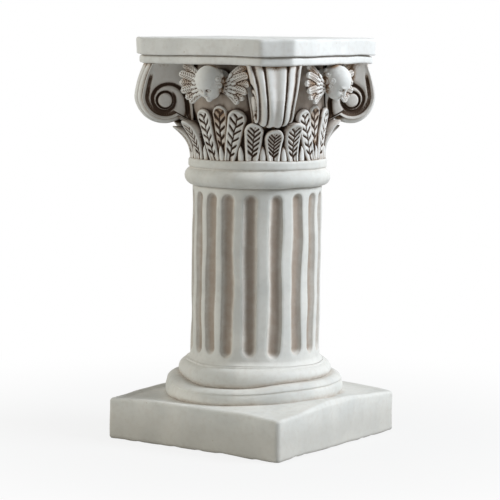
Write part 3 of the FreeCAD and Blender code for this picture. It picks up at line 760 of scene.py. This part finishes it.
def skin(field, low, step):
    """The skin where a field changes sign, with one point in each cell that it crosses."""
    cells = np.array(field.shape) - 1
    total = int(cells.prod())
    sums, counts, quads = np.zeros((total, 3)), np.zeros(total), []
    for axis in range(3):
        u, v = (axis + 1) % 3, (axis + 2) % 3
        first, second = [slice(None)] * 3, [slice(None)] * 3
        first[axis], second[axis] = slice(0, -1), slice(1, None)
        a, b = field[tuple(first)], field[tuple(second)]
        edge = np.argwhere((a < 0) != (b < 0))
        inner = (edge[:, u] > 0) & (edge[:, v] > 0)
        inner &= (edge[:, u] < cells[u]) & (edge[:, v] < cells[v])
        edge = edge[inner]
        at_a, at_b = a[tuple(edge.T)], b[tuple(edge.T)]
        place = edge.astype(float)
        place[:, axis] += at_a / (at_a - at_b)
        ring = []
        for du, dv in ((0, 0), (1, 0), (1, 1), (0, 1)):
            cell = edge.copy()
            cell[:, u] -= du
            cell[:, v] -= dv
            flat = np.ravel_multi_index(tuple(cell.T), tuple(cells))
            for i in range(3):
                sums[:, i] += np.bincount(flat, place[:, i], total)
            counts += np.bincount(flat, minlength=total)
            ring.append(flat)
        quad = np.stack(ring, 1)
        quads.append(np.where((at_a < 0)[:, None], quad, quad[:, ::-1]))
    used = np.flatnonzero(counts)
    number = np.full(total, -1)
    number[used] = np.arange(len(used))
    return np.array(low) + step * sums[used] / counts[used, None], number[np.concatenate(quads)]


def hollows(points, quads, rounds):
    """How far each point lies below its neighbours' mean, along the outward normal."""
    edges = np.concatenate([quads[:, [i, (i + 1) % 4]] for i in range(4)])
    normal = np.zeros_like(points)
    a, b, c, d = (points[quads[:, i]] for i in range(4))
    face_normal = np.cross(c - a, d - b)
    for i in range(4):
        for k in range(3):
            normal[:, k] += np.bincount(quads[:, i], face_normal[:, k], len(points))
    normal /= np.linalg.norm(normal, axis=1)[:, None] + 1e-9
    count = np.bincount(edges.ravel(), minlength=len(points))
    mean = points.copy()
    for _ in range(rounds):
        total = np.zeros_like(points)
        for k in range(3):
            total[:, k] = np.bincount(edges[:, 0], mean[edges[:, 1], k], len(points))
            total[:, k] += np.bincount(edges[:, 1], mean[edges[:, 0], k], len(points))
        mean = total / count[:, None]
    return ((mean - points) * normal).sum(1)


def egg(space, centre, radii):
    """Distance to an ellipsoid, nearly."""
    scaled = (space - np.array(centre)) / np.array(radii)
    near = np.linalg.norm(scaled, axis=-1)
    steep = np.linalg.norm(scaled / np.array(radii), axis=-1)
    return near * (near - 1) / (steep + 1e-9)


def rod(space, start, end, radius, end_radius=None):
    """Distance to a rod with round ends."""
    start, end = np.array(start, float), np.array(end, float)
    along = end - start
    share = np.clip(((space - start) @ along) / (along @ along), 0, 1)
    size = radius if end_radius is None else radius + (end_radius - radius) * share
    return np.linalg.norm(space - start - share[..., None] * along, axis=-1) - size


def blended(a, b, reach):
    """Both forms, their meeting filled over reach."""
    share = np.clip(0.5 + 0.5 * (b - a) / reach, 0, 1)
    return b * (1 - share) + a * share - reach * share * (1 - share)


def carved(a, b, reach):
    """Form a without form b, the edge softened over reach."""
    return -blended(-a, b, reach)


def hair_lock(space, centre, outward, turn, size):
    """A snail-shaped curl: a ball with a spiral furrow."""
    local = space - np.array(centre)
    outward = np.array(outward) / np.linalg.norm(outward)
    side = np.cross(outward, (0, 0, 1.0))
    side /= np.linalg.norm(side)
    up = np.cross(side, outward)
    a, b, c = local @ side, local @ up, local @ outward
    angle = np.arctan2(b, a)
    flat = np.hypot(a, b)
    furrow = 0.38 * np.cos(flat * 2.9 + turn * angle) * smooth_step(flat, 0.2, 0.9)
    return np.sqrt(a ** 2 + b ** 2 + (1.15 * c) ** 2) - size + furrow


def head_shape():
    """A calm child's head with curls round its back, shaped facing +X and then tilted."""
    step = 0.36
    low = (-17.0, -12.6, -14.4)
    space = grid(low, (13.6, 12.6, 14.2), step)
    mirror = space * np.array([1.0, 0.0, 1.0]) + np.abs(space) * np.array([0.0, 1.0, 0.0])
    face = egg(space, (-0.8, 0, 2.2), (11.6, 10.6, 11.2))
    face = blended(face, egg(space, (2.6, 0, -4.6), (7.4, 7.6, 8.0)), 3.0)
    face = blended(face, egg(mirror, (5.6, 4.2, -4.4), (3.7, 3.4, 3.5)), 2.0)
    face = blended(face, egg(space, (8.0, 0, -10.4), (2.0, 2.2, 1.7)), 2.0)
    face = blended(face, egg(mirror, (8.9, 2.9, 1.5), (1.7, 3.0, 1.0)), 1.6)
    face = carved(face, egg(mirror, (10.7, 3.6, -0.9), (2.6, 2.5, 1.6)), 1.3)
    face = blended(face, egg(mirror, (7.5, 3.6, -1.0), (2.2, 2.0, 1.55)), 0.5)
    face = carved(face, rod(mirror, (9.75, 2.0, -1.45), (8.6, 5.4, -1.35), 0.28), 0.3)
    face = blended(face, rod(space, (9.5, 0, 0.6), (11.3, 0, -3.7), 0.75, 1.15), 1.0)
    face = blended(face, egg(mirror, (10.3, 1.2, -4.2), (1.2, 0.95, 0.8)), 0.5)
    face = blended(face, egg(mirror, (9.5, 0.75, -6.8), (1.2, 1.35, 0.62)), 0.5)
    face = blended(face, egg(space, (9.3, 0, -8.0), (1.15, 1.55, 0.72)), 0.5)
    face = carved(face, rod(mirror, (10.6, 0, -7.45), (9.4, 2.3, -7.2), 0.22), 0.3)
    face = blended(face, rod(space, (-2, 0, -2), (-16.5, 0, -6.0), 7.0), 3.0)
    hair = None
    rows = ((3.4, 78, 7), (-1.2, 76, 8), (-5.4, 82, 8))
    for row, (rise, first, count) in enumerate(rows):
        for i in range(count):
            angle = math.radians(first + (360 - 2 * first) * i / (count - 1))
            girth = math.sqrt(max(0.05, 1 - ((rise - 2.2) / 11.2) ** 2))
            way = (math.cos(angle), math.sin(angle), 0.12 * rise)
            centre = (-0.8 + 10.6 * girth * way[0], 9.6 * girth * way[1], rise + chance.uniform(-0.5, 0.5))
            lock = hair_lock(space, centre, way, 1 if (i + row) % 2 else -1, chance.uniform(2.3, 2.9))
            hair = lock if hair is None else np.minimum(hair, lock)
    form = blended(face, hair, 0.5)
    tilt = math.radians(head_tilt)
    world_out = head_place[0] + head_scale * (space[..., 0] * math.cos(tilt) + space[..., 2] * math.sin(tilt))
    world_up = head_place[2] + head_scale * (space[..., 2] * math.cos(tilt) - space[..., 0] * math.sin(tilt))
    form = np.maximum(form, bell_radius - 0.8 - world_out)
    form = np.maximum(form, world_up - bell_top + 0.1)
    points, quads = skin(form, low, step)
    groove = smooth_step(hollows(points, quads, 4), 0.02, 0.16)
    x = points[:, 0] * math.cos(tilt) + points[:, 2] * math.sin(tilt)
    z = -points[:, 0] * math.sin(tilt) + points[:, 2] * math.cos(tilt)
    placed = head_scale * np.stack([x, points[:, 1], z], -1) + head_place
    return placed, quads.tolist(), groove


def feather(space, start, angle, length, width, level):
    """One flat feather with a quill and slanted barbs."""
    way = np.array([0.0, math.cos(angle), math.sin(angle)])
    up = np.array([0.0, -math.sin(angle), math.cos(angle)])
    local = space - np.array(start)
    along, off, out = local @ way, local @ up, local[..., 0] - level
    body = length - width
    sag = off + 0.010 * (along - 0.4 * length) ** 2
    past = np.maximum(along - body, 0)
    flat = np.hypot(sag, past) - width * (0.72 + 0.28 * smooth_step(along, 0, body * 0.7))
    flat = np.maximum(flat, -along - 1.0)
    barbs = 0.16 * np.cos((along - np.abs(sag) * 1.1) * 3.4)
    quill = 0.35 * hump(sag, 0.45)
    thick = 1.15 + quill - 0.35 * (sag / width) ** 2 + barbs
    return np.maximum(flat, np.abs(out) - thick) * 0.8


def wing_shape():
    """The wing on the +Y side of a head: long feathers over rows of small ones."""
    step = 0.36
    low = np.array([48.0, wing_root[1] - 6.5, bell_top - 31.0])
    high = np.array([64.0, wing_root[1] + 26.5, bell_top + 0.4])
    space = grid(low, high, step)
    form = None
    for i in range(6):
        share = i / 5
        angle = math.radians(42 - 76 * share)
        length = 26.5 - 8.0 * share ** 1.5
        one = feather(space, wing_root, angle, length, 2.8, -0.4 + 1.0 * (i % 2))
        form = one if form is None else np.minimum(form, one)
    for row, (reach, count, size) in enumerate(((4.4, 4, 2.1), (8.0, 5, 2.0), (11.6, 6, 1.9))):
        for i in range(count):
            angle = math.radians(44 - 80 * (i + 0.25 * (row % 2)) / (count - 0.75))
            way = np.array([0, math.cos(angle), math.sin(angle)])
            centre = wing_root + np.array([1.4 - 0.25 * row, 0, 0]) + reach * way
            lump = rod(space, centre - 0.9 * way, centre + 1.1 * way, size * 0.85, size * 0.7)
            form = np.minimum(form, lump)
    root = rod(space, (bell_radius - 4, wing_root[1], wing_root[2]),
               (wing_root[0] - 1.5, wing_root[1] + 2, wing_root[2]), 6.0, 4.5)
    form = blended(form, root, 1.0)
    wall = bell_radius - 0.8 - np.hypot(space[..., 0], space[..., 1])
    form = np.maximum(form, wall)
    form = np.maximum(form, space[..., 2] - bell_top + 0.2)
    points, quads = skin(form, low, step)
    groove = smooth_step(hollows(points, quads, 4), -0.02, 0.08)
    return points, quads.tolist(), groove


def mirrored(shape):
    """The mirror image of a side's shape in the upright plane through the head."""
    points, faces, groove = shape
    flipped = points * np.array([1.0, -1.0, 1.0]) + np.array([0, 2 * head_place[1], 0])
    return flipped, faces, groove


# Build every piece

piece("cast_plinth", plinth_shape(), "cast_base", ["plinth"])
piece("cast_lower_base_ring", lower_ring_shape(), "cast_base", ["base_lower_ring"])
piece("cast_upper_base_ring", upper_ring_shape(), "cast_base", ["base_upper_ring"])
piece("fluted_shaft", shaft_shape(), "cast_shaft", ["shaft"])
piece("cast_neck_ring", neck_ring_shape(), "cast_base", ["neck_ring"])
piece("cast_bell", bell_shape(), "cast_ornament", ["capital_bell"])
piece("cast_moulding", moulding_shape(), "cast_abacus", ["abacus_moulding"])
piece("cast_slab", slab_shape(), "cast_abacus", ["abacus_slab"])


def leaf_of(kind, side=0):
    """A leaf of a kind, leaning to the left (-1), to the right (1) or not at all."""
    height, curl, lean = LEAF_KINDS[kind]
    return leaf_shape(height, curl, side * lean)


def place(title, node, shape, angle):
    """One piece of the capital, named after the frame node that it stands for."""
    piece(title + node, shape, "cast_ornament", [node], angle)


volute = volute_shape()
for corner, angle in CORNERS.items():
    leaf_at = angle + leaf_ring_turn
    place("carved_", "volute_" + corner, volute, angle)
    place("veined_", "corner_leaf_" + corner, leaf_of("corner"), leaf_at)
    for name, side in (("_a", -1), ("_b", 1)):
        flank = leaf_of("flank", -side)
        place("veined_", "flank_leaf_" + corner + name, flank, leaf_at + side * leaf_pitch)

head = head_shape()
right_wing = wing_shape()
wings = {"_a": mirrored(right_wing), "_b": right_wing}
back_leaf = back_leaf_shape()
bud, bud_faces, bud_groove = bud_shape()
bud_row = joined([(turned(bud, i * leaf_pitch), bud_faces, bud_groove) for i in range(-2, 3)])
for side_name, angle in SIDES.items():
    leaf_at = angle + leaf_ring_turn
    piece("child_head_" + side_name, head, "cast_ornament", ["cherub_head_" + side_name], angle)
    for name, wing in wings.items():
        place("feathered_", "wing_" + side_name + name, wing, angle)
    for name, side in (("_a", -1), ("_b", 1)):
        tall = leaf_of("tall", side)
        place("veined_", "tall_leaf_" + side_name + name, tall, leaf_at + side * tall_leaf_turn)
    place("veined_", "back_leaf_" + side_name, back_leaf, leaf_at)
    piece("spear_buds_" + side_name, bud_row, "cast_ornament", ["bud_leaves_" + side_name], leaf_at)


# Where the wash settles and where shade is painted: how enclosed each point is

def blurred(block, reach):
    """A grid smoothed over reach cells along each axis."""
    half = int(2.5 * reach) + 1
    weights = np.exp(-0.5 * (np.arange(-half, half + 1) / reach) ** 2)
    weights /= weights.sum()
    for axis in range(3):
        total = np.zeros_like(block)
        for shift, weight in zip(range(-half, half + 1), weights):
            total += weight * np.roll(block, shift, axis)
        block = total
    return block


def mark_hollows():
    """Gives every piece an attribute that rises where other surfaces crowd round it."""
    cell, margin = 1.1, 8.0
    low = cad_low - margin
    count = ((cad_high + margin - low) / cell).astype(int) + 1
    filled = np.zeros(count, np.float32)
    skins = []
    for thing, _ in built:
        mesh = thing.data
        points, normals = np.empty(3 * len(mesh.vertices)), np.empty(3 * len(mesh.vertices))
        mesh.vertices.foreach_get("co", points)
        mesh.vertices.foreach_get("normal", normals)
        points, normals = points.reshape(-1, 3) / MM, normals.reshape(-1, 3)
        skins.append((points, normals))
        for depth in (0.4, 1.3, 2.2, 3.1):
            at = ((points - depth * normals - low) / cell).astype(int)
            filled[tuple(at.T)] = 1.0
    crowd = blurred(filled, 2.4)
    for (thing, _), (points, normals) in zip(built, skins):
        level = np.zeros(len(points))
        for reach in (1.5, 3.5):
            at = ((points + reach * normals - low) / cell).astype(int)
            level += 0.5 * crowd[tuple(at.T)]
        hollow = smooth_step(level, 0.20, 0.52)
        thing.data.attributes.new("hollow", "FLOAT", "POINT").data.foreach_set("value", hollow)


mark_hollows()


# Shader groups: each puts out masks or heights that change over the surface

def new_group(name, inputs, outputs):
    group = bpy.data.node_groups.new(name, "ShaderNodeTree")
    for title, value in inputs.items():
        kind = "NodeSocketColor" if isinstance(value, tuple) else "NodeSocketFloat"
        group.interface.new_socket(title, in_out="INPUT", socket_type=kind).default_value = value
    for title, kind in outputs.items():
        group.interface.new_socket(title, in_out="OUTPUT", socket_type=kind)
    return group, group.nodes.new("NodeGroupInput"), group.nodes.new("NodeGroupOutput")


def add_node(tree, kind, **settings):
    node = tree.nodes.new(kind)
    for key, value in settings.items():
        setattr(node, key, value)
    return node


def put(tree, node, socket, value):
    """Sets an input to a value, or links it if the value is a socket."""
    if isinstance(value, bpy.types.NodeSocket):
        tree.links.new(value, node.inputs[socket])
    else:
        node.inputs[socket].default_value = value


def math_node(tree, kind, a, b=0.0, clamp=False):
    node = add_node(tree, "ShaderNodeMath", operation=kind, use_clamp=clamp)
    put(tree, node, 0, a)
    put(tree, node, 1, b)
    return node.outputs[0]


def spread(tree, value, low, high, to_low=0.0, to_high=1.0):
    """Maps a value from one range to another, smoothly and clamped."""
    node = add_node(tree, "ShaderNodeMapRange", interpolation_type="SMOOTHSTEP")
    for socket, number in (("Value", value), ("From Min", low), ("From Max", high),
                           ("To Min", to_low), ("To Max", to_high)):
        put(tree, node, socket, number)
    return node.outputs["Result"]


def noise(tree, scale, detail=3.0, rough=0.5, warp=0.0):
    """Noise over the object; scale is per metre."""
    coords = add_node(tree, "ShaderNodeTexCoord")
    node = add_node(tree, "ShaderNodeTexNoise")
    tree.links.new(coords.outputs["Object"], node.inputs["Vector"])
    put(tree, node, "Scale", scale)
    put(tree, node, "Detail", detail)
    put(tree, node, "Roughness", rough)
    put(tree, node, "Distortion", warp)
    return node.outputs["Fac"]


def attribute(tree, name):
    return add_node(tree, "ShaderNodeAttribute", attribute_name=name).outputs["Fac"]


def mixed(tree, share, a, b, kind="MIX"):
    node = add_node(tree, "ShaderNodeMix", data_type="RGBA", blend_type=kind)
    put(tree, node, "Factor", share)
    put(tree, node, 6, a)
    put(tree, node, 7, b)
    return node.outputs[2]


def wash_and_shade_group():
    """Masks of the thin brown wash that stays in hollows and grooves after wiping, and of where it turns
    darker still as painted shade in the most enclosed hollows and deepest grooves.
    """
    group, given, result = new_group(
        "settled wash and painted shade", {"Hollow Share": 1.0, "Groove Share": 1.0, "Patchiness": 0.3},
        {"Veil": "NodeSocketFloat", "Deep Wash And Shade": "NodeSocketFloat"})
    patch = spread(group, noise(group, 160.0, 4.0, 0.6), 0.35, 0.68)
    hollow = math_node(group, "MULTIPLY", attribute(group, "hollow"), given.outputs["Hollow Share"])
    groove = math_node(group, "MULTIPLY", attribute(group, "groove"), given.outputs["Groove Share"])
    both = math_node(group, "MAXIMUM", hollow, groove)
    thinned = math_node(group, "MULTIPLY", given.outputs["Patchiness"], patch)
    veil = math_node(group, "SUBTRACT", both, math_node(group, "MULTIPLY", thinned, both), clamp=True)
    summed = math_node(group, "ADD", math_node(group, "MULTIPLY", hollow, 0.55), groove)
    group.links.new(veil, result.inputs["Veil"])
    group.links.new(spread(group, summed, 0.50, 1.15), result.inputs["Deep Wash And Shade"])
    return group


def cast_grain_group():
    """Height of fine cast grain with a few pinholes, and the pinholes' mask."""
    group, given, result = new_group(
        "cast grain", {"Grain Scale": 900.0, "Pinholes": 0.5},
        {"Height": "NodeSocketFloat", "Holes": "NodeSocketFloat"})
    coords = add_node(group, "ShaderNodeTexCoord")
    cells = add_node(group, "ShaderNodeTexVoronoi", feature="F1")
    group.links.new(coords.outputs["Object"], cells.inputs["Vector"])
    put(group, cells, "Scale", 190.0)
    hole = spread(group, cells.outputs["Distance"], 0.16, 0.05)
    rare = spread(group, noise(group, 75.0, 2.0), 0.60, 0.70)
    holes = math_node(group, "MULTIPLY", math_node(group, "MULTIPLY", hole, rare), given.outputs["Pinholes"])
    fine = noise(group, given.outputs["Grain Scale"], 5.0)
    broad = noise(group, 130.0)
    height = math_node(group, "ADD", math_node(group, "MULTIPLY", fine, 0.35), broad)
    height = math_node(group, "SUBTRACT", height, math_node(group, "MULTIPLY", holes, 0.8))
    group.links.new(height, result.inputs["Height"])
    group.links.new(holes, result.inputs["Holes"])
    return group


def cloudy_group():
    """Broad soft mottling, with a finer speckle in it."""
    group, given, result = new_group(
        "cloudy mottling", {"Cloud Scale": 30.0, "Speckle Scale": 260.0},
        {"Clouds": "NodeSocketFloat", "Speckle": "NodeSocketFloat"})
    clouds = noise(group, given.outputs["Cloud Scale"], 3.0, 0.5, 0.6)
    speckle = noise(group, given.outputs["Speckle Scale"], 5.0)
    group.links.new(spread(group, clouds, 0.36, 0.66), result.inputs["Clouds"])
    group.links.new(spread(group, speckle, 0.42, 0.72), result.inputs["Speckle"])
    return group


WASH_AND_SHADE = wash_and_shade_group()
GRAIN = cast_grain_group()
CLOUDY = cloudy_group()


def placed_group(tree, group, **values):
    node = add_node(tree, "ShaderNodeGroup", node_tree=group)
    for key, value in values.items():
        node.inputs[key.replace("_", " ")].default_value = value
    return node


def new_material(name):
    material = bpy.data.materials.new(name)
    material.use_nodes = True
    return material, material.node_tree, material.node_tree.nodes["Principled BSDF"]


def add_bump(tree, shader, height, strength, distance):
    bump = add_node(tree, "ShaderNodeBump")
    put(tree, bump, "Strength", strength)
    put(tree, bump, "Distance", distance)
    put(tree, bump, "Height", height)
    put(tree, shader, "Normal", bump.outputs["Normal"])


def cast_stone(name, ivory, cloud, veil, deep_wash_and_shade, hollow_share, groove_share, patchiness):
    """Matte cast resin stone, darker towards the floor, under a wiped-off brown wash that turns darker still
    as painted shade in its deepest places.
    """
    material, tree, shader = new_material(name)
    clouds = placed_group(tree, CLOUDY)
    wash_and_shade_masks = placed_group(tree, WASH_AND_SHADE, Hollow_Share=hollow_share, Groove_Share=groove_share,
                        Patchiness=patchiness)
    grain = placed_group(tree, GRAIN)
    colour = mixed(tree, clouds.outputs["Clouds"], ivory, cloud)
    speckle = math_node(tree, "MULTIPLY", clouds.outputs["Speckle"], 0.10)
    colour = mixed(tree, speckle, colour, veil)
    height = add_node(tree, "ShaderNodeSeparateXYZ")
    tree.links.new(add_node(tree, "ShaderNodeTexCoord").outputs["Object"], height.inputs[0])
    # The colour darkens towards the bottom of the column.
    colour = mixed(tree, spread(tree, height.outputs["Z"], 0.012, 0.034, 0.45, 0.0), colour, DARKER_LOW_DOWN)
    colour = mixed(tree, wash_and_shade_masks.outputs["Veil"], colour, veil)
    # The thickest wash takes the deep colour. This is painted shade in the most enclosed hollows and deepest
    # grooves, laid over the real brown wash.
    colour = mixed(tree, wash_and_shade_masks.outputs["Deep Wash And Shade"], colour, deep_wash_and_shade)
    colour = mixed(tree, math_node(tree, "MULTIPLY", grain.outputs["Holes"], 0.6), colour, veil)
    put(tree, shader, "Base Color", colour)
    put(tree, shader, "Roughness", spread(tree, clouds.outputs["Clouds"], 0.0, 1.0, 0.62, 0.74))
    put(tree, shader, "Specular IOR Level", 0.35)
    add_bump(tree, shader, grain.outputs["Height"], 0.35, 0.0004)
    return material


IVORY = (0.75, 0.735, 0.69, 1.0)
GREY_IVORY = (0.67, 0.665, 0.63, 1.0)
# Lighter copies of the ivory and grey for the ornament and abacus: painted light in place of more fill light
# on the capital.
IVORY_PAINTED_LIGHTER = (0.83, 0.825, 0.80, 1.0)
GREY_PAINTED_LIGHTER = (0.76, 0.755, 0.73, 1.0)
# The colour that the stone darkens to towards the bottom.
DARKER_LOW_DOWN = (0.46, 0.425, 0.37, 1.0)
UMBER = (0.36, 0.235, 0.145, 1.0)
MAUVE = (0.46, 0.385, 0.32, 1.0)
# Near-black brown: painted shade in the deepest recesses of the base, ornament and abacus.
DEEP_SHADE_BROWN = (0.060, 0.032, 0.018, 1.0)
MAUVE_BROWN = (0.30, 0.23, 0.18, 1.0)

WIPED_WASH_AND_SHADE = (UMBER, DEEP_SHADE_BROWN)
THIN = (MAUVE, MAUVE_BROWN)
materials = {
    "cast_base": cast_stone("matte cast base", IVORY, GREY_IVORY, *WIPED_WASH_AND_SHADE, 0.32, 0.5, 0.5),
    "cast_shaft": cast_stone("matte cast shaft", IVORY, GREY_IVORY, *THIN, 0.3, 0.9, 0.45),
    "cast_ornament": cast_stone("matte cast ornament", IVORY_PAINTED_LIGHTER, GREY_PAINTED_LIGHTER, *WIPED_WASH_AND_SHADE, 1.2, 1.0, 0.2),
    "cast_abacus": cast_stone("matte cast abacus", IVORY_PAINTED_LIGHTER, GREY_PAINTED_LIGHTER, *WIPED_WASH_AND_SHADE, 0.26, 0.45, 0.6),
}
for thing, slot in built:
    thing.data.materials.append(materials[slot])


def felt_material():
    """Dark felt: short matted fibres."""
    material, tree, shader = new_material("dark felt")
    fibres = noise(tree, 1400.0, 6.0, 0.7, 1.5)
    tuft = spread(tree, fibres, 0.35, 0.7)
    put(tree, shader, "Base Color", mixed(tree, tuft, (0.055, 0.045, 0.04, 1), (0.14, 0.12, 0.105, 1)))
    put(tree, shader, "Roughness", 0.95)
    put(tree, shader, "Sheen Weight", 0.3)
    add_bump(tree, shader, fibres, 0.6, 0.0003)
    return material


def beech_material():
    """Plain beech with its grain along the pins."""
    material, tree, shader = new_material("plain beech")
    coords = add_node(tree, "ShaderNodeTexCoord")
    stretch = add_node(tree, "ShaderNodeMapping")
    stretch.inputs["Scale"].default_value = (900.0, 900.0, 60.0)
    tree.links.new(coords.outputs["Object"], stretch.inputs["Vector"])
    grain = add_node(tree, "ShaderNodeTexNoise")
    tree.links.new(stretch.outputs["Vector"], grain.inputs["Vector"])
    put(tree, grain, "Scale", 1.0)
    put(tree, grain, "Detail", 4.0)
    line = spread(tree, grain.outputs["Fac"], 0.35, 0.7)
    put(tree, shader, "Base Color", mixed(tree, line, (0.62, 0.44, 0.27, 1), (0.46, 0.30, 0.17, 1)))
    put(tree, shader, "Roughness", 0.6)
    add_bump(tree, shader, line, 0.3, 0.0002)
    return material


felt = felt_material()
beech = beech_material()
for node_name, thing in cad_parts.items():
    if node_name.startswith("felt_pad") or node_name.endswith("dowels"):
        thing.data.materials.clear()
        thing.data.materials.append(felt if node_name.startswith("felt_pad") else beech)


# Floor, light and camera

def mix_shaders(tree, share, first, second, output_kind):
    mix = add_node(tree, "ShaderNodeMixShader")
    out = add_node(tree, output_kind)
    for socket, source in enumerate((share, first.outputs[0], second.outputs[0])):
        tree.links.new(source, mix.inputs[socket])
    tree.links.new(mix.outputs[0], out.inputs["Surface"])


def make_floor():
    """A plain pale floor that fades to white and keeps the object's shadow."""
    mesh = bpy.data.meshes.new("studio floor")
    reach = 6.0
    corners = [(-reach, -reach, 0), (reach, -reach, 0), (reach, reach, 0), (-reach, reach, 0)]
    mesh.from_pydata(corners, [], [(0, 1, 2, 3)])
    floor = bpy.data.objects.new("studio floor", mesh)
    bpy.context.scene.collection.objects.link(floor)
    material = bpy.data.materials.new("pale floor")
    material.use_nodes = True
    tree = material.node_tree
    tree.nodes.clear()
    diffuse = add_node(tree, "ShaderNodeBsdfDiffuse")
    diffuse.inputs["Color"].default_value = (0.50, 0.50, 0.49, 1)
    glow = add_node(tree, "ShaderNodeEmission")
    glow.inputs["Color"].default_value = (1, 1, 1, 1)
    path = add_node(tree, "ShaderNodeLightPath")
    coords = add_node(tree, "ShaderNodeTexCoord")
    away = add_node(tree, "ShaderNodeVectorMath", operation="LENGTH")
    tree.links.new(coords.outputs["Object"], away.inputs[0])
    white = spread(tree, away.outputs["Value"], 0.10, 0.42, 0.86, 1.0)
    seen = math_node(tree, "MULTIPLY", path.outputs["Is Camera Ray"], white)
    mix_shaders(tree, seen, diffuse, glow, "ShaderNodeOutputMaterial")
    mesh.materials.append(material)


def make_world():
    """Soft even light, and white behind the object."""
    world = bpy.data.worlds.new("studio")
    bpy.context.scene.world = world
    world.use_nodes = True
    tree = world.node_tree
    tree.nodes.clear()
    soft = add_node(tree, "ShaderNodeBackground")
    soft.inputs["Color"].default_value = (0.93, 0.95, 0.92, 1)
    soft.inputs["Strength"].default_value = 0.24
    white = add_node(tree, "ShaderNodeBackground")
    white.inputs["Color"].default_value = (1, 1, 1, 1)
    path = add_node(tree, "ShaderNodeLightPath")
    seen = math_node(tree, "MAXIMUM", path.outputs["Is Camera Ray"], path.outputs["Is Glossy Ray"])
    seen = math_node(tree, "MAXIMUM", seen, path.outputs["Is Transmission Ray"])
    mix_shaders(tree, seen, soft, white, "ShaderNodeOutputWorld")


def soft_lamp(name, place, width, watts, colour):
    lamp = bpy.data.lights.new(name, "AREA")
    lamp.shape = "SQUARE"
    lamp.size = width
    lamp.energy = watts
    lamp.color = colour
    thing = bpy.data.objects.new(name, lamp)
    bpy.context.scene.collection.objects.link(thing)
    thing.location = place
    aim = Vector((0, 0, 0.16)) - Vector(place)
    thing.rotation_euler = aim.to_track_quat("-Z", "Y").to_euler()


def make_camera():
    """A long lens from the front right corner, a little above the middle."""
    azimuth, elevation, roll = math.radians(35.40), math.radians(6.42), math.radians(0.404)
    distance, look_z, shift_right = 1.612, 0.1408, -0.0037
    back = Vector((math.sin(azimuth) * math.cos(elevation), -math.cos(azimuth) * math.cos(elevation),
                   math.sin(elevation)))
    right = Vector((math.cos(azimuth), math.sin(azimuth), 0))
    up = back.cross(right)
    target = Vector((0, 0, look_z)) + right * shift_right
    rolled_right = right * math.cos(roll) + up * math.sin(roll)
    rolled_up = up * math.cos(roll) - right * math.sin(roll)
    camera = bpy.data.cameras.new("camera")
    camera.lens = 154.3
    camera.sensor_width = 36.0
    camera.clip_end = 50.0
    thing = bpy.data.objects.new("camera", camera)
    bpy.context.scene.collection.objects.link(thing)
    turn = Matrix((rolled_right, rolled_up, back)).transposed().to_4x4()
    thing.matrix_world = Matrix.Translation(target + back * distance) @ turn
    bpy.context.scene.camera = thing


make_floor()
make_world()
soft_lamp("key lamp", (1.75, 0.72, 1.45), 1.0, 58.0, (0.88, 0.935, 1.0))
soft_lamp("fill lamp", (-1.6, -1.6, 0.8), 1.5, 24.0, (1.0, 0.985, 0.90))
make_camera()
bpy.context.scene.view_settings.view_transform = "Standard"
